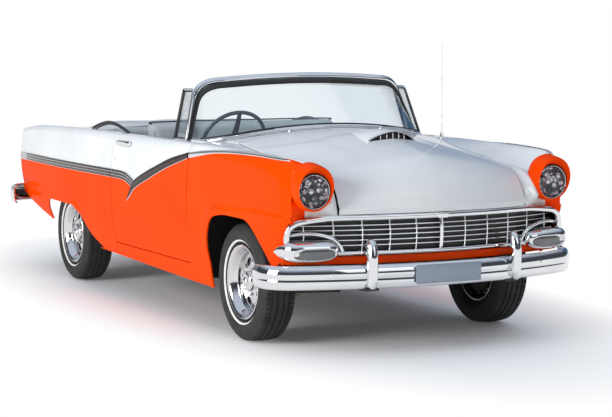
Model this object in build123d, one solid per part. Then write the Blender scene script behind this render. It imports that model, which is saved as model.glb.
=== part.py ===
from build123d import *

import os
from collections import namedtuple
from math import asin, cos, hypot, radians, sin

# Stance, in mm. The car faces -Y, its left side is +X and it stands on Z = 0.
LENGTH = 5042
WHEELBASE = 2934
FRONT_OVERHANG = 840
FRONT_TRACK = 1484
REAR_TRACK = 1440
TYRE_RADIUS = 330
TYRE_WIDTH = 205
RIM_RADIUS = 196
FRONT_Y = -1681
NOSE_END = FRONT_Y - FRONT_OVERHANG
TAIL_END = NOSE_END + LENGTH
REAR_Y = FRONT_Y + WHEELBASE
AXLE_Z = TYRE_RADIUS

# Clearances between pieces.
SHUT_GAP = 7
SEAT = 0.3
RUN = 0.05

# Sheet and slab thicknesses.
WALL = 18
LID = 22
FLOOR = 14

# Door opening and shut lines.
DOOR_FRONT_Y = -1045
DOOR_REAR_Y = 215
DOOR_BOTTOM_Z = 372
DOOR_INNER_X = 768
HINGE_X = 842
HINGE_AHEAD = 60
HINGE_HEIGHTS = (500, 880)
PIN_RADIUS = 8
DOOR_LIP = 4
LIP_DEPTH = 34

# Hood, cowl and windshield.
HOOD_REAR_Y = -1235
HOOD_HALF = 640
HOOD_NOSE_HALF = 573
COWL_Z = 1134
COWL_DROP = 61
COWL_REAR_Y = -930
DOGLEG_Z = 1072
DOGLEG_REAR_Y = -730

# Nose.
NOSE_Y = -2320
GRILLE_TOP = 742
GRILLE_BOTTOM = 527
GRILLE_HALF = 862
LAMP_Z = 876
LAMP_RADIUS = 91
BEZEL_RADIUS = 130
LAMP_X = GRILLE_HALF - BEZEL_RADIUS

# Tail.
TAIL_Y = TAIL_END - 101
DECK_FRONT_Y = 1426
LID_FRONT_Y = 1500
LID_MID_Y = (LID_FRONT_Y + TAIL_Y) / 2 - 10
LID_HALF = 600
DECK_Z = 1056
DECK_DROP = 12
LID_LIP_Z = 640

# Structure.
RAIL_X = 430
RAIL_WIDTH = 80
RAIL_HALF = 50
FLOOR_Z = 345
REAR_FLOOR_Z = 535
HEEL_Y = 560
WELL_FRONT_Y = 1003
WELL_Z = 735
HOUSE_RADIUS = 395
HOUSE_X = 598
KINGPIN_X = 640
SPINDLE_RADIUS = 22


def line(a, b):
    return Edge.make_line(a, b)


def arc(a, middle, b):
    return Edge.make_three_point_arc(a, middle, b)


def polygon(points):
    return Face(Wire.make_polygon([Vector(*p) for p in points], close=True))


def prism_x(points, x0, x1):
    return extrude(polygon([(x0, y, z) for y, z in points]), x1 - x0, dir=(1, 0, 0))


def prism_y(points, y0, y1):
    return extrude(polygon([(x, y0, z) for x, z in points]), y1 - y0, dir=(0, 1, 0))


def prism_z(points, z0, z1):
    return extrude(polygon([(x, y, z0) for x, y in points]), z1 - z0, dir=(0, 0, 1))


def block(x0, x1, y0, y1, z0, z1):
    middle = Pos((x0 + x1) / 2, (y0 + y1) / 2, (z0 + z1) / 2)
    return middle * Box(abs(x1 - x0), abs(y1 - y0), abs(z1 - z0))


def rod(a, b, radius):
    a, b = Vector(*a), Vector(*b)
    return Part() + Solid.make_cylinder(radius, (b - a).length, Plane(a, z_dir=b - a))


def other_side(shape):
    return mirror(shape, about=Plane.YZ)


def save(name, *shapes):
    solids = [solid for shape in shapes for solid in shape.solids()]
    whole = solids[0] if len(solids) == 1 else Compound(solids)
    export_step(whole, f"parts/{name}.step")


def skin_x(shape, y, z):
    """Outermost x of a left-hand shape on a line across the car."""
    hits = shape.find_intersection_points(Axis((0, y, z), (1, 0, 0)))
    return max(point.X for point, normal in hits)


def cowl_z(x):
    return COWL_Z - COWL_DROP * (x / HOOD_HALF) ** 2


def deck_z(x):
    return DECK_Z - DECK_DROP * (x / LID_HALF) ** 2


# Cross-sections of the left body side, from sill to hood, cabin or lid edge.
Station = namedtuple(
    "Station", "y sill_x sill_z side_x side_z crest_x crest_z top_x top_z edge_x edge_z"
)
FENDER = [
    Station(NOSE_Y, 805, 560, GRILLE_HALF, 860, 838, 965, 745, 1012, 570, 800),
    Station(FRONT_Y - 379, 840, 430, 876, 760, 852, 992, 782, 1050, 585, 962),
    Station(FRONT_Y - 19, 850, 300, 884, 680, 860, 1005, 795, 1060, 630, 1010),
    Station(FRONT_Y + 311, 850, 296, 890, 660, 866, 1010, 812, 1064, 636, 1042),
    Station(DOOR_FRONT_Y, 850, 295, 896, 645, 872, 1012, 830, 1066, 636, 1070),
]
DOOR = [
    Station(DOOR_FRONT_Y + SHUT_GAP, 850, 295, 896, 645, 872, 1012, 830, 1066, 780, 1066),
    Station(-400, 850, 295, 902, 640, 876, 1012, 838, 1068, 780, 1066),
    Station(DOOR_REAR_Y, 850, 295, 902, 640, 876, 1012, 838, 1068, 780, 1066),
]
QUARTER = [
    Station(DOOR_REAR_Y + SHUT_GAP, 850, 295, 902, 640, 876, 1012, 838, 1068, 772, 1066),
    Station(560, 850, 296, 900, 640, 874, 1013, 836, 1069, 764, 1066),
    Station(900, 848, 305, 896, 640, 870, 1014, 832, 1068, 740, 1062),
    Station(REAR_Y - 13, 844, 340, 890, 648, 864, 1012, 824, 1066, 670, 1054),
    Station(REAR_Y + 327, 836, 392, 878, 664, 852, 1006, 812, 1060, 592, 1044),
    Station((REAR_Y + 327 + TAIL_Y) / 2, 815, 462, 856, 694, 834, 992, 794, 1048, 592, 1014),
    Station(TAIL_Y, 775, 530, 812, 740, 800, 950, 760, 1016, 592, 900),
]


def side_points(s, inset):
    sill = Vector(s.sill_x - inset, s.y, s.sill_z)
    side = Vector(s.side_x - inset, s.y, s.side_z)
    crest = Vector(s.crest_x - inset, s.y, s.crest_z - inset / 2)
    top = Vector(s.top_x - inset / 3, s.y, s.top_z - inset)
    chord = top - crest
    shoulder = (crest + top) * 0.5 + Vector(chord.Z, 0, -chord.X) * 0.18
    edge = Vector(s.edge_x, s.y, s.edge_z - inset)
    return sill, side, crest, shoulder, top, edge


def shell_wire(s):
    sill, side, crest, shoulder, top, edge = side_points(s, 0)
    sill_in, side_in, crest_in, shoulder_in, top_in, edge_in = side_points(s, WALL)
    return Wire([
        arc(sill, side, crest),
        arc(crest, shoulder, top),
        line(top, edge),
        line(edge, edge_in),
        line(edge_in, top_in),
        arc(top_in, shoulder_in, crest_in),
        arc(crest_in, side_in, sill_in),
        line(sill_in, sill),
    ])


def slab_wire(s, inner_x, inset=0):
    sill, side, crest, shoulder, top, edge = side_points(s, inset)
    inner_top = Vector(inner_x, s.y, top.Z)
    inner_sill = Vector(inner_x, s.y, sill.Z)
    return Wire([
        arc(sill, side, crest),
        arc(crest, shoulder, top),
        line(top, inner_top),
        line(inner_top, inner_sill),
        line(inner_sill, sill),
    ])


def cap_face(s, inner_x):
    """Inside of a body side's section, half a wall in, to close its end."""
    sill, side, crest, shoulder, top, edge = side_points(s, WALL / 2)
    inner_edge = Vector(inner_x, s.y, edge.Z)
    inner_sill = Vector(inner_x, s.y, sill.Z)
    return Face(Wire([
        arc(sill, side, crest),
        arc(crest, shoulder, top),
        line(top, inner_edge),
        line(inner_edge, inner_sill),
        line(inner_sill, sill),
    ]))


def wheel_arch(points, radius):
    face = polygon([(0, y, z) for y, z in points])
    corners = [v for v in face.vertices() if v.Z > points[0][1] + 1]
    return extrude(face.fillet_2d(radius, corners), 1200, dir=(1, 0, 0))


# Lids, as lengthwise profiles at distances from the centre line.
Profile = namedtuple("Profile", "x hinge_z mid_y mid_z turn_y turn_z nose_y nose_z lip_y")
HOOD = [
    Profile(0, cowl_z(0), -1780, 1104, -2250, 1032, -2408, 930, -2452),
    Profile(300, cowl_z(300), -1750, 1080, -2225, 1010, -2385, 915, -2430),
    Profile(520, cowl_z(520), -1720, 1040, -2180, 975, -2330, 888, -2382),
    Profile(700, cowl_z(700), -1690, 995, -2120, 925, -2262, 845, -2305),
]
TRUNK = [
    Profile(0, deck_z(0), LID_MID_Y, 1034, TAIL_Y - 130, 985, TAIL_Y - 20, 900, TAIL_Y + 20),
    Profile(320, deck_z(320), LID_MID_Y - 5, 1028, TAIL_Y - 135, 975, TAIL_Y - 28, 892, TAIL_Y + 10),
    Profile(640, deck_z(640), LID_MID_Y - 10, 1012, TAIL_Y - 150, 950, TAIL_Y - 48, 875, TAIL_Y - 12),
]


def lid_wire(p, hinge_y, lip_z):
    inward = -1 if p.lip_y > 0 else 1
    hinge = Vector(p.x, hinge_y, p.hinge_z)
    middle = Vector(p.x, p.mid_y, p.mid_z)
    turn = Vector(p.x, p.turn_y, p.turn_z)
    nose = Vector(p.x, p.nose_y, p.nose_z)
    lip = Vector(p.x, p.lip_y, lip_z)
    hinge_in = hinge + Vector(0, 0, -LID)
    middle_in = middle + Vector(0, 0, -LID)
    turn_in = turn + Vector(0, inward * LID * 0.5, -LID)
    nose_in = nose + Vector(0, inward * LID, -LID * 0.5)
    lip_in = lip + Vector(0, inward * LID, 0)
    return Wire([
        arc(hinge, middle, turn),
        arc(turn, nose, lip),
        line(lip, lip_in),
        arc(lip_in, nose_in, turn_in),
        arc(turn_in, middle_in, hinge_in),
        line(hinge_in, hinge),
    ])


def lid(profiles, hinge_y, lip_z):
    half = Part() + Solid.make_loft([lid_wire(p, hinge_y, lip_z) for p in profiles])
    return half + other_side(half)


def hood_plan(gap):
    half, nose = HOOD_HALF + gap, HOOD_NOSE_HALF + gap
    edge = [(half, HOOD_REAR_Y + gap), (half, -1700), (nose, -2200), (nose, -2600)]
    return prism_z(edge + [(-x, y) for x, y in reversed(edge)], GRILLE_TOP + 3, 1300)


def trunk_plan(gap):
    half = LID_HALF + gap
    return block(-half, half, LID_FRONT_Y - gap, TAIL_END, LID_LIP_Z - gap, 1300)


def scoop(mouth_y, tail_y, half, height, base_z, tail_z, inset=0):
    """Low teardrop on the hood, open at its mouth."""
    def arch(y, w, h, z):
        a, top, b = (-w, y, z), (0, y, z + h), (w, y, z)
        return Wire([arc(a, top, b), line(b, (w, y, z - 30)),
                     line((w, y, z - 30), (-w, y, z - 30)), line((-w, y, z - 30), a)])
    return Part() + Solid.make_loft([
        arch(mouth_y, half - inset, height - inset, base_z),
        arch(tail_y, (half - inset) * 0.45, (height - inset) * 0.3, tail_z),
    ], ruled=True)


def arc_band(mid_y, half, end_y, depth, z0, z1):
    """Bar bowed in plan, of the given depth along the car."""
    left, right, mid = (half, end_y, z0), (-half, end_y, z0), (0, mid_y, z0)
    left_in, right_in = (half, end_y + depth, z0), (-half, end_y + depth, z0)
    mid_in = (0, mid_y + depth, z0)
    face = Face(Wire([arc(right, mid, left), line(left, left_in),
                      arc(left_in, mid_in, right_in), line(right_in, right)]))
    return extrude(face, z1 - z0, dir=(0, 0, 1))


# Windshield plan at two heights: the bow and its rear ends at the posts.
Screen = namedtuple("Screen", "z half end_y knee_x knee_y mid_y")
SCREEN = [
    Screen(1030, 779, -750, 525, -1170, -1277),
    Screen(1480, 663, -647, 478, -697, -737),
]


def screen_solid(inset, back):
    wires = []
    for s in SCREEN:
        end_x, end_y = s.half - inset, s.end_y + back
        knee_x, knee_y = s.knee_x - inset * 0.4, s.knee_y + inset * 0.9
        left, right = Vector(knee_x, knee_y, s.z), Vector(-knee_x, knee_y, s.z)
        bow = arc(right, (0, s.mid_y + inset, s.z), left)
        heading = bow.tangent_at(1)
        left_end, right_end = Vector(end_x, end_y, s.z), Vector(-end_x, end_y, s.z)
        left_turn = Edge.make_tangent_arc(left, heading, left_end)
        middle = left_turn.position_at(0.5)
        right_turn = arc(right_end, (-middle.X, middle.Y, s.z), right)
        wires.append(Wire([right_turn, bow, left_turn, line(left_end, right_end)]))
    return Part() + Solid.make_loft(wires, ruled=True)


def screen_outline(inset, sill):
    """Front view of the windshield opening, between its sill and header."""
    low = COWL_Z + sill
    foot_x, foot_z = 800, low - COWL_DROP * (800 / HOOD_HALF) ** 2
    foot_x -= inset
    post_x, post_z = 692 - inset, 1365 - inset * 0.4
    turn_x, turn_z = 610 - inset * 0.5, 1436 - inset
    bend = (672 - inset * 0.8, 0, 1412 - inset * 0.8)
    face = Face(Wire([
        arc((-foot_x, 0, foot_z), (0, 0, low), (foot_x, 0, foot_z)),
        line((foot_x, 0, foot_z), (post_x, 0, post_z)),
        arc((post_x, 0, post_z), bend, (turn_x, 0, turn_z)),
        arc((turn_x, 0, turn_z), (0, 0, 1466 - inset), (-turn_x, 0, turn_z)),
        arc((-turn_x, 0, turn_z), (-bend[0], 0, bend[2]), (-post_x, 0, post_z)),
        line((-post_x, 0, post_z), (-foot_x, 0, foot_z)),
    ]))
    return Pos(0, -600, 0) * extrude(face, 800, dir=(0, -1, 0))


def bumper(mid_y, z, knee_x, bow, corner, tip, half_height):
    """Bowed bumper bar with wrapped ends, at the front; turned for the rear."""
    angle = asin(knee_x / bow)
    knee = Vector(knee_x, mid_y + bow * (1 - cos(angle)), z)
    centre = knee + Vector(-sin(angle), cos(angle), 0) * corner
    end = centre + Vector(corner, 0, 0)
    between = (angle + radians(90)) / 2
    bend = centre + Vector(sin(between), -cos(between), 0) * corner
    start = end + Vector(0, tip, 0)

    def flip(v):
        return Vector(-v.X, v.Y, v.Z)
    path = Wire([line(start, end), arc(end, bend, knee), arc(knee, (0, mid_y, z), flip(knee)),
                 arc(flip(knee), flip(bend), flip(end)), line(flip(end), flip(start))])
    low, high = start + Vector(0, 0, -half_height), start + Vector(0, 0, half_height)
    back_low, back_high = low + Vector(-10, 0, 6), high + Vector(-10, 0, -6)
    face = Face(Wire([arc(low, start + Vector(24, 0, 0), high), line(high, back_high),
                      line(back_high, back_low), line(back_low, low)]))
    return sweep(face, path)


def guard(x, face_y, z0, z1):
    """Upright bumper guard with a rounded head."""
    points = [(face_y + 70, z0), (face_y + 18, z0), (face_y, z0 + 40), (face_y, z1 - 70),
              (face_y + 22, z1 - 12), (face_y + 42, z1), (face_y + 62, z1 - 8)]
    solid = prism_x(points, x - 26, x + 26)
    return fillet(solid.edges().filter_by(GeomType.LINE).group_by(Axis.Y)[0], 10)


def tyre(x, y):
    half, r = TYRE_WIDTH / 2, TYRE_RADIUS
    tread = half * 0.74
    low = (half * 0.66, RIM_RADIUS)
    bead = (half * 0.66, RIM_RADIUS + 15)
    wall = (half, (r + RIM_RADIUS) / 2 - 6)
    shoulder = (tread, r - 7)

    def at(p, side=1):
        return Vector(x + side * p[0], y, AXLE_Z + p[1])
    face = Face(Wire([
        line(at(low), at(bead)),
        arc(at(bead), at(wall), at(shoulder)),
        arc(at(shoulder), Vector(x, y, AXLE_Z + r), at(shoulder, -1)),
        arc(at(shoulder, -1), at(wall, -1), at(bead, -1)),
        line(at(bead, -1), at(low, -1)),
        line(at(low, -1), at(low)),
    ]))
    return revolve(face, Axis((x, y, AXLE_Z), (1, 0, 0)))


# Wheel section from the bead seat to the cap: distance outward and radius.
RIM_OUTLINE = [
    (-70, RIM_RADIUS - SEAT), (70, RIM_RADIUS - SEAT), (78, RIM_RADIUS + 12),
    (86, RIM_RADIUS + 12), (82, RIM_RADIUS - 18), (52, RIM_RADIUS - 34), (40, 128),
    (56, 96), (56, 62), (84, 44), (92, 0), (70, 0), (70, SPINDLE_RADIUS + RUN),
    (-52, SPINDLE_RADIUS + RUN), (-52, 140), (24, 140), (24, RIM_RADIUS - 26),
    (-66, RIM_RADIUS - 26), (-78, RIM_RADIUS - 8), (-86, RIM_RADIUS + 12),
    (-78, RIM_RADIUS + 12),
]


def rim(x, y):
    out = 1 if x > 0 else -1
    face = polygon([(x + out * d, y, AXLE_Z + r) for d, r in RIM_OUTLINE])
    return revolve(face, Axis((x, y, AXLE_Z), (1, 0, 0)))


os.makedirs("parts", exist_ok=True)

# Body sides.
front_arch = wheel_arch(
    [(FRONT_Y + 395, 200), (FRONT_Y + 378, 697), (FRONT_Y - 190, 697),
     (FRONT_Y - 290, 640), (FRONT_Y - 430, 500), (FRONT_Y - 480, 200)], 70)
rear_arch = wheel_arch(
    [(REAR_Y + 352, 250), (REAR_Y + 345, 548), (REAR_Y - 290, 548),
     (REAR_Y - 560, 370), (REAR_Y - 700, 322), (REAR_Y - 950, 250)], 60)
fender = Part() + Solid.make_loft([shell_wire(s) for s in FENDER])
fender += extrude(cap_face(FENDER[0], HOOD_NOSE_HALF), 16, dir=(0, 1, 0))
fender -= front_arch
fender -= hood_plan(SHUT_GAP)
fender -= block(0, HOOD_HALF + SEAT, HOOD_REAR_Y, DOOR_FRONT_Y + 1, 900, 1300)
fender -= block(400, 1000, -2600, FRONT_Y - 540, 0, GRILLE_TOP + SEAT)
pocket = Part() + Solid.make_loft([slab_wire(s, 700, DOOR_LIP + 2) for s in FENDER])
fender -= pocket & block(HINGE_X - 20, 1000, DOOR_FRONT_Y - LIP_DEPTH, DOOR_FRONT_Y + 1, 0, 1040)
save("fender_left", fender)
save("fender_right", other_side(fender))

quarter = Part() + Solid.make_loft([shell_wire(s) for s in QUARTER])
quarter += extrude(cap_face(QUARTER[-1], LID_HALF), 16, dir=(0, -1, 0))
quarter -= rear_arch
quarter -= trunk_plan(SHUT_GAP)
quarter -= block(0, LID_HALF + SHUT_GAP, LID_FRONT_Y - 200, TAIL_END, 0, 1300)
save("quarter_left", quarter)
save("quarter_right", other_side(quarter))

side = Part() + Solid.make_loft([slab_wire(s, DOOR_INNER_X) for s in DOOR])
rocker = side & block(0, 1000, -2000, 2000, 0, DOOR_BOTTOM_Z - SHUT_GAP)
save("rockers", rocker, other_side(rocker))

door = side & block(0, 1000, -2000, 2000, DOOR_BOTTOM_Z, 2000)
door -= block(804, 816, -540, DOOR_REAR_Y - 30, 1040, 1200)
# The door's front edge is a thin lip, which swings clear of the fender's end.
core = Part() + Solid.make_loft([slab_wire(s, DOOR_INNER_X - 1, DOOR_LIP) for s in DOOR])
door -= core & block(HINGE_X - 54, 1000, DOOR_FRONT_Y, DOOR_FRONT_Y + SHUT_GAP + LIP_DEPTH, 0, 1200)
hinge_y = DOOR_FRONT_Y - HINGE_AHEAD
root = (DOOR_INNER_X + 8, DOOR_FRONT_Y + SHUT_GAP + 4)
reach = hypot(HINGE_X - root[0], hinge_y - root[1])
along = ((root[0] - HINGE_X) / reach, (root[1] - hinge_y) / reach)
strap = [(HINGE_X + s * 6 * along[1], hinge_y - s * 6 * along[0]) for s in (1, -1)]
strap += [(root[0] + s * 6 * along[1], root[1] - s * 6 * along[0]) for s in (-1, 1)]
pillar = Part() + Solid.make_loft([slab_wire(s, 700, WALL + SEAT) for s in FENDER])
pillar &= block(DOOR_INNER_X, 1000, DOOR_FRONT_Y - 110, DOOR_FRONT_Y - 90, 0, 1200)
for z in HINGE_HEIGHTS:
    eye = rod((HINGE_X, hinge_y, z - 18), (HINGE_X, hinge_y, z + 18), 14)
    eye += prism_z(strap, z - 18, z + 18)
    door += eye - rod((HINGE_X, hinge_y, z - 30), (HINGE_X, hinge_y, z + 30), PIN_RADIUS + RUN)
    pillar += rod((HINGE_X, hinge_y, z - 28), (HINGE_X, hinge_y, z + 28), PIN_RADIUS)
    for low in (z - 28, z + 18 + SEAT):
        pillar += block(HINGE_X - 14, HINGE_X + 14, DOOR_FRONT_Y - 100, hinge_y + 10,
                        low, low + 10 - SEAT)
save("door_left", door)
save("door_right", other_side(door))

latch = Part() + Solid.make_loft([slab_wire(s, 700, WALL + SEAT) for s in QUARTER])
latch &= block(DOOR_INNER_X - 16, 1000, DOOR_REAR_Y + 13, DOOR_REAR_Y + 33, 0,
               QUARTER[0].edge_z - WALL - SEAT)
latch += block(DOOR_INNER_X - 16, DOOR_INNER_X, DOOR_REAR_Y + 13, 850, FLOOR_Z + FLOOR + SEAT, 1044)
save("side_trim", pillar, other_side(pillar), latch, other_side(latch))

# Pull handle and quarter vent on each door.
handle_z = 1014
grip_x = skin_x(door, 20, handle_z) + 20
handle = rod((grip_x, -110, handle_z), (grip_x, 150, handle_z), 9)
for y in (-90, 130):
    handle += rod((skin_x(door, y, handle_z) + 0.9, y, handle_z), (grip_x, y, handle_z), 8)
sill_z = 1068.1
vent_lean = 0.26


def vent_panel(points, depth, shift):
    spots = [(798 + shift - vent_lean * (z - sill_z), y, z) for y, z in points]
    return extrude(polygon(spots), depth, dir=(1, 0, 0))


vent = vent_panel([(-762, sill_z), (-575, sill_z), (-560, 1360), (-680, 1362)], 14, 0)
vent -= vent_panel([(-742, 1086), (-593, 1086), (-578, 1344), (-668, 1346)], 40, -10)
vent += vent_panel([(-745, 1083), (-590, 1083), (-575, 1347), (-665, 1349)], 5, 4)
save("door_fittings_left", vent, handle)
save("door_fittings_right", other_side(vent), other_side(handle))

# Lids.
hood = lid(HOOD, HOOD_REAR_Y, GRILLE_TOP + 8) & hood_plan(0)
hood += scoop(-1900, -1420, 150, 48, 1088, 1117)
hood -= scoop(-1901, -1500, 150, 48, 1092, 1117, 10) & block(-200, 200, -1910, -1840, 1000, 1200)
save("hood", hood)
trunk = lid(TRUNK, LID_FRONT_Y, LID_LIP_Z) & trunk_plan(0)
save("trunk_lid", trunk)

# Cowl with the windshield's side feet, and the rear deck.


def crown_wire(x, rise, y0, y1, drop):
    points = [(x, y0, rise), (x, y1, rise), (x, y1, rise - drop), (x, y0, rise - drop)]
    return Wire.make_polygon([Vector(*p) for p in points], close=True)


cowl = Part() + Solid.make_loft(
    [crown_wire(x, cowl_z(x), HOOD_REAR_Y + SHUT_GAP, COWL_REAR_Y, 20)
     for x in (-640, -320, 0, 320, 640)])
foot = block(632, DOOR_INNER_X - 6, DOOR_FRONT_Y + SHUT_GAP, DOGLEG_REAR_Y, 985, DOGLEG_Z)
cowl += foot
cowl += other_side(foot)
for x in (-300, 300):
    ledge = cowl_z(330) - LID - 1.3
    cowl += block(x - 30, x + 30, HOOD_REAR_Y - 20, HOOD_REAR_Y + 40, ledge - 20, ledge)
    cowl += block(x - 30, x + 30, HOOD_REAR_Y + SHUT_GAP, HOOD_REAR_Y + 40, ledge - 20, ledge + 20)
save("cowl", cowl)
deck = Part() + Solid.make_loft(
    [crown_wire(x, deck_z(x), DECK_FRONT_Y - 20, LID_FRONT_Y - SHUT_GAP, 20)
     for x in (-LID_HALF, -300, 0, 300, LID_HALF)])
for x in (-320, 320):
    ledge = deck_z(350) - LID - 1
    deck += block(x - 30, x + 30, LID_FRONT_Y - 30, LID_FRONT_Y + 20, ledge - 16, ledge)
    deck += block(x - 30, x + 30, LID_FRONT_Y - 30, LID_FRONT_Y - SHUT_GAP, ledge - 16, ledge + 16)
save("rear_deck", deck)
tail = arc_band(-TAIL_Y - 12, LID_HALF, 18 - TAIL_Y, 16, 540, LID_LIP_Z - SHUT_GAP)
save("tail_panel", Rot(0, 0, 180) * tail)

# Windshield.
frame_shell = screen_solid(0, 0) - screen_solid(26, 5)
frame = frame_shell & (screen_outline(0, SEAT) - screen_outline(26, 20))
foot_room = block(630, 900, DOOR_FRONT_Y, -600, 900, DOGLEG_Z + SEAT)
foot_room += other_side(foot_room)
frame -= foot_room
save("windshield_frame", frame)
glass = (screen_solid(10, 0) - screen_solid(16, 5)) & screen_outline(26 + SEAT, 20 + SEAT)
glass -= Pos(0, 0, 14) * foot_room
save("windshield_glass", glass)

# Nose.
grille = arc_band(-2452, GRILLE_HALF, -2252, 28, GRILLE_TOP - 24, GRILLE_TOP)
grille += arc_band(-2452, GRILLE_HALF, -2252, 28, GRILLE_BOTTOM, GRILLE_BOTTOM + 18)
for side_x in (GRILLE_HALF - 30, -GRILLE_HALF):
    grille += block(side_x, side_x + 30, -2250, -2226, GRILLE_BOTTOM, GRILLE_TOP)
for k in range(6):
    z = GRILLE_BOTTOM + 36 + 28 * k
    grille += arc_band(-2438, GRILLE_HALF - 10, -2242, 12, z, z + 8)
for k in range(-5, 6):
    x = 140 * k
    half = 14 if k == 0 else 4
    y = -2438 + 200 * (x / GRILLE_HALF) ** 2
    grille += block(x - half, x + half, y, y + 14, GRILLE_BOTTOM + 4, GRILLE_TOP - 4)
save("grille", grille)
valance = arc_band(-2420, 850, -2245, 16, 488, GRILLE_BOTTOM - SEAT)
save("front_valance", valance)

bezel_outline = [(0, 0), (0, BEZEL_RADIUS), (-112, BEZEL_RADIUS), (-132, 120), (-126, 112),
                 (-74, 99), (-74, LAMP_RADIUS + SEAT), (-52, LAMP_RADIUS + SEAT), (-52, 0)]
lens_outline = [(-52 - SEAT, 0), (-52 - SEAT, LAMP_RADIUS), (-62, LAMP_RADIUS), (-80, 62), (-88, 0)]


def lamp(outline, x, z, y, way=1):
    face = polygon([(x, y + way * d, z + r) for d, r in outline])
    return revolve(face, Axis((x, y, z), (0, 1, 0)))


bezel = lamp(bezel_outline, LAMP_X, LAMP_Z, NOSE_Y - SEAT)
bezel -= Pos(LAMP_X, NOSE_Y - 118, LAMP_Z - 60) * Rot(18, 0, 0) * Pos(0, -100, -40) * Box(400, 200, 200)
save("headlamp_bezels", bezel, other_side(bezel))
lens = lamp(lens_outline, LAMP_X, LAMP_Z, NOSE_Y - SEAT)
save("headlamp_lenses", lens, other_side(lens))

pod_x = 737
pod_turn = asin(pod_x / 1960)
pod_y = -2452 + 200 * (pod_x / GRILLE_HALF) ** 2 - 2.8
pod_plane = Plane((pod_x, pod_y, 568), x_dir=(cos(pod_turn), sin(pod_turn), 0),
                  z_dir=(sin(pod_turn), -cos(pod_turn), 0))
pod = loft([pod_plane * Ellipse(166, 72), pod_plane.offset(30) * Ellipse(160, 68),
            pod_plane.offset(46) * Ellipse(130, 48)], ruled=True)
save("parking_lamps", pod, other_side(pod))

front_bar = bumper(NOSE_END + 28, 426, 830, 2200, 180, 45, 64)
front_bar += guard(440, NOSE_END, 366, 622)
front_bar += guard(-440, NOSE_END, 366, 622)
save("front_bumper", front_bar)
rear_bar = bumper(28 - TAIL_END, 528, 760, 6000, 180, 60, 64)
rear_bar += guard(420, -TAIL_END, 468, 690)
rear_bar += guard(-420, -TAIL_END, 468, 690)
rear_bar = Rot(0, 0, 180) * rear_bar
save("rear_bumper", rear_bar)
plate = block(-200, 200, NOSE_END + SEAT, NOSE_END + 4 - SEAT, 378, 482)
rear_plate = block(-200, 200, TAIL_END - 4 + SEAT, TAIL_END - SEAT, 482, 586)
save("number_plates", plate, rear_plate)

tail_outline = [(SEAT, 0), (SEAT, 84), (14, 84), (26, 66), (38, 0)]
tail_lamp = lamp(tail_outline, 706, 800, TAIL_Y)
save("tail_lamps", tail_lamp, other_side(tail_lamp))

# Frame, floors and running gear.
rail_line = [(-2460, 400), (-1420, 400), (-1180, 265), (650, 265), (930, 484), (TAIL_END - 47, 484)]
rail_points = [(y, z + RAIL_HALF) for y, z in rail_line]
rail_points += [(y, z - RAIL_HALF) for y, z in reversed(rail_line)]
rail = prism_x(rail_points, RAIL_X - RAIL_WIDTH / 2, RAIL_X + RAIL_WIDTH / 2)
chassis = rail + other_side(rail)
Member = namedtuple("Member", "y width z0 z1")
for m in [Member(-2230, 90, 360, 430), Member(FRONT_Y, 150, 290, 380), Member(-300, 100, 200, 230),
          Member(560, 90, 225, 260), Member(TAIL_Y - 120, 80, 440, 520)]:
    chassis += block(-RAIL_X, RAIL_X, m.y - m.width / 2, m.y + m.width / 2, m.z0, m.z1)
for y in (-1000, -450, 100, 550):
    for x in (-RAIL_X, RAIL_X):
        chassis += rod((x, y, 300), (x, y, FLOOR_Z - SEAT), 32)
for shift in (0, SEAT):
    chassis -= Pos(0, shift, 0) * front_bar
    chassis -= Pos(0, -shift, 0) * rear_bar
save("chassis_frame", chassis)

wheel_wall_y = HOOD_REAR_Y + 25
floor_line = [(HEEL_Y, FLOOR_Z), (-970, FLOOR_Z), (wheel_wall_y, 500), (wheel_wall_y, 1020)]
floor_top = [(wheel_wall_y + FLOOR, 1020), (wheel_wall_y + FLOOR, 506),
             (-964, FLOOR_Z + FLOOR), (HEEL_Y, FLOOR_Z + FLOOR)]
floor = prism_x(floor_line + floor_top, -700, 700)
floor += block(SEAT - DOOR_INNER_X, DOOR_INNER_X - SEAT, DOOR_FRONT_Y + 20, DOOR_REAR_Y, FLOOR_Z,
               FLOOR_Z + FLOOR)
save("floor_pan", floor)

rear_floor = block(-HOUSE_X, HOUSE_X, HEEL_Y, TAIL_Y - 34 - SEAT, REAR_FLOOR_Z, REAR_FLOOR_Z + FLOOR)
rear_floor += block(-HOUSE_X, HOUSE_X, HEEL_Y + SEAT, HEEL_Y + FLOOR, FLOOR_Z, REAR_FLOOR_Z + 5)
rear_floor += block(-HOUSE_X, HOUSE_X, WELL_FRONT_Y, DECK_FRONT_Y, WELL_Z - 12, WELL_Z)
rear_floor += block(-HOUSE_X, HOUSE_X, WELL_FRONT_Y, WELL_FRONT_Y + 12, REAR_FLOOR_Z, WELL_Z)
rear_floor += block(-HOUSE_X, HOUSE_X, DECK_FRONT_Y - 12, DECK_FRONT_Y, REAR_FLOOR_Z, deck_z(LID_HALF) - 20 - SEAT)
house = rod((HOUSE_X - 4, REAR_Y, AXLE_Z), (830, REAR_Y, AXLE_Z), HOUSE_RADIUS)
house -= rod((HOUSE_X + 12, REAR_Y, AXLE_Z), (900, REAR_Y, AXLE_Z), HOUSE_RADIUS - 12)
house &= block(0, 1000, 0, 3000, REAR_FLOOR_Z, 1000)
rear_floor += house
rear_floor += other_side(house)
wing = block(HOUSE_X - 4, 765 - SEAT, REAR_Y + HOUSE_RADIUS - 30, TAIL_Y - 40, REAR_FLOOR_Z, REAR_FLOOR_Z + FLOOR)
wing -= rod((0, REAR_Y, AXLE_Z), (900, REAR_Y, AXLE_Z), HOUSE_RADIUS - 12)
rear_floor += wing
rear_floor += other_side(wing)
save("rear_floor", rear_floor)

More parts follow.
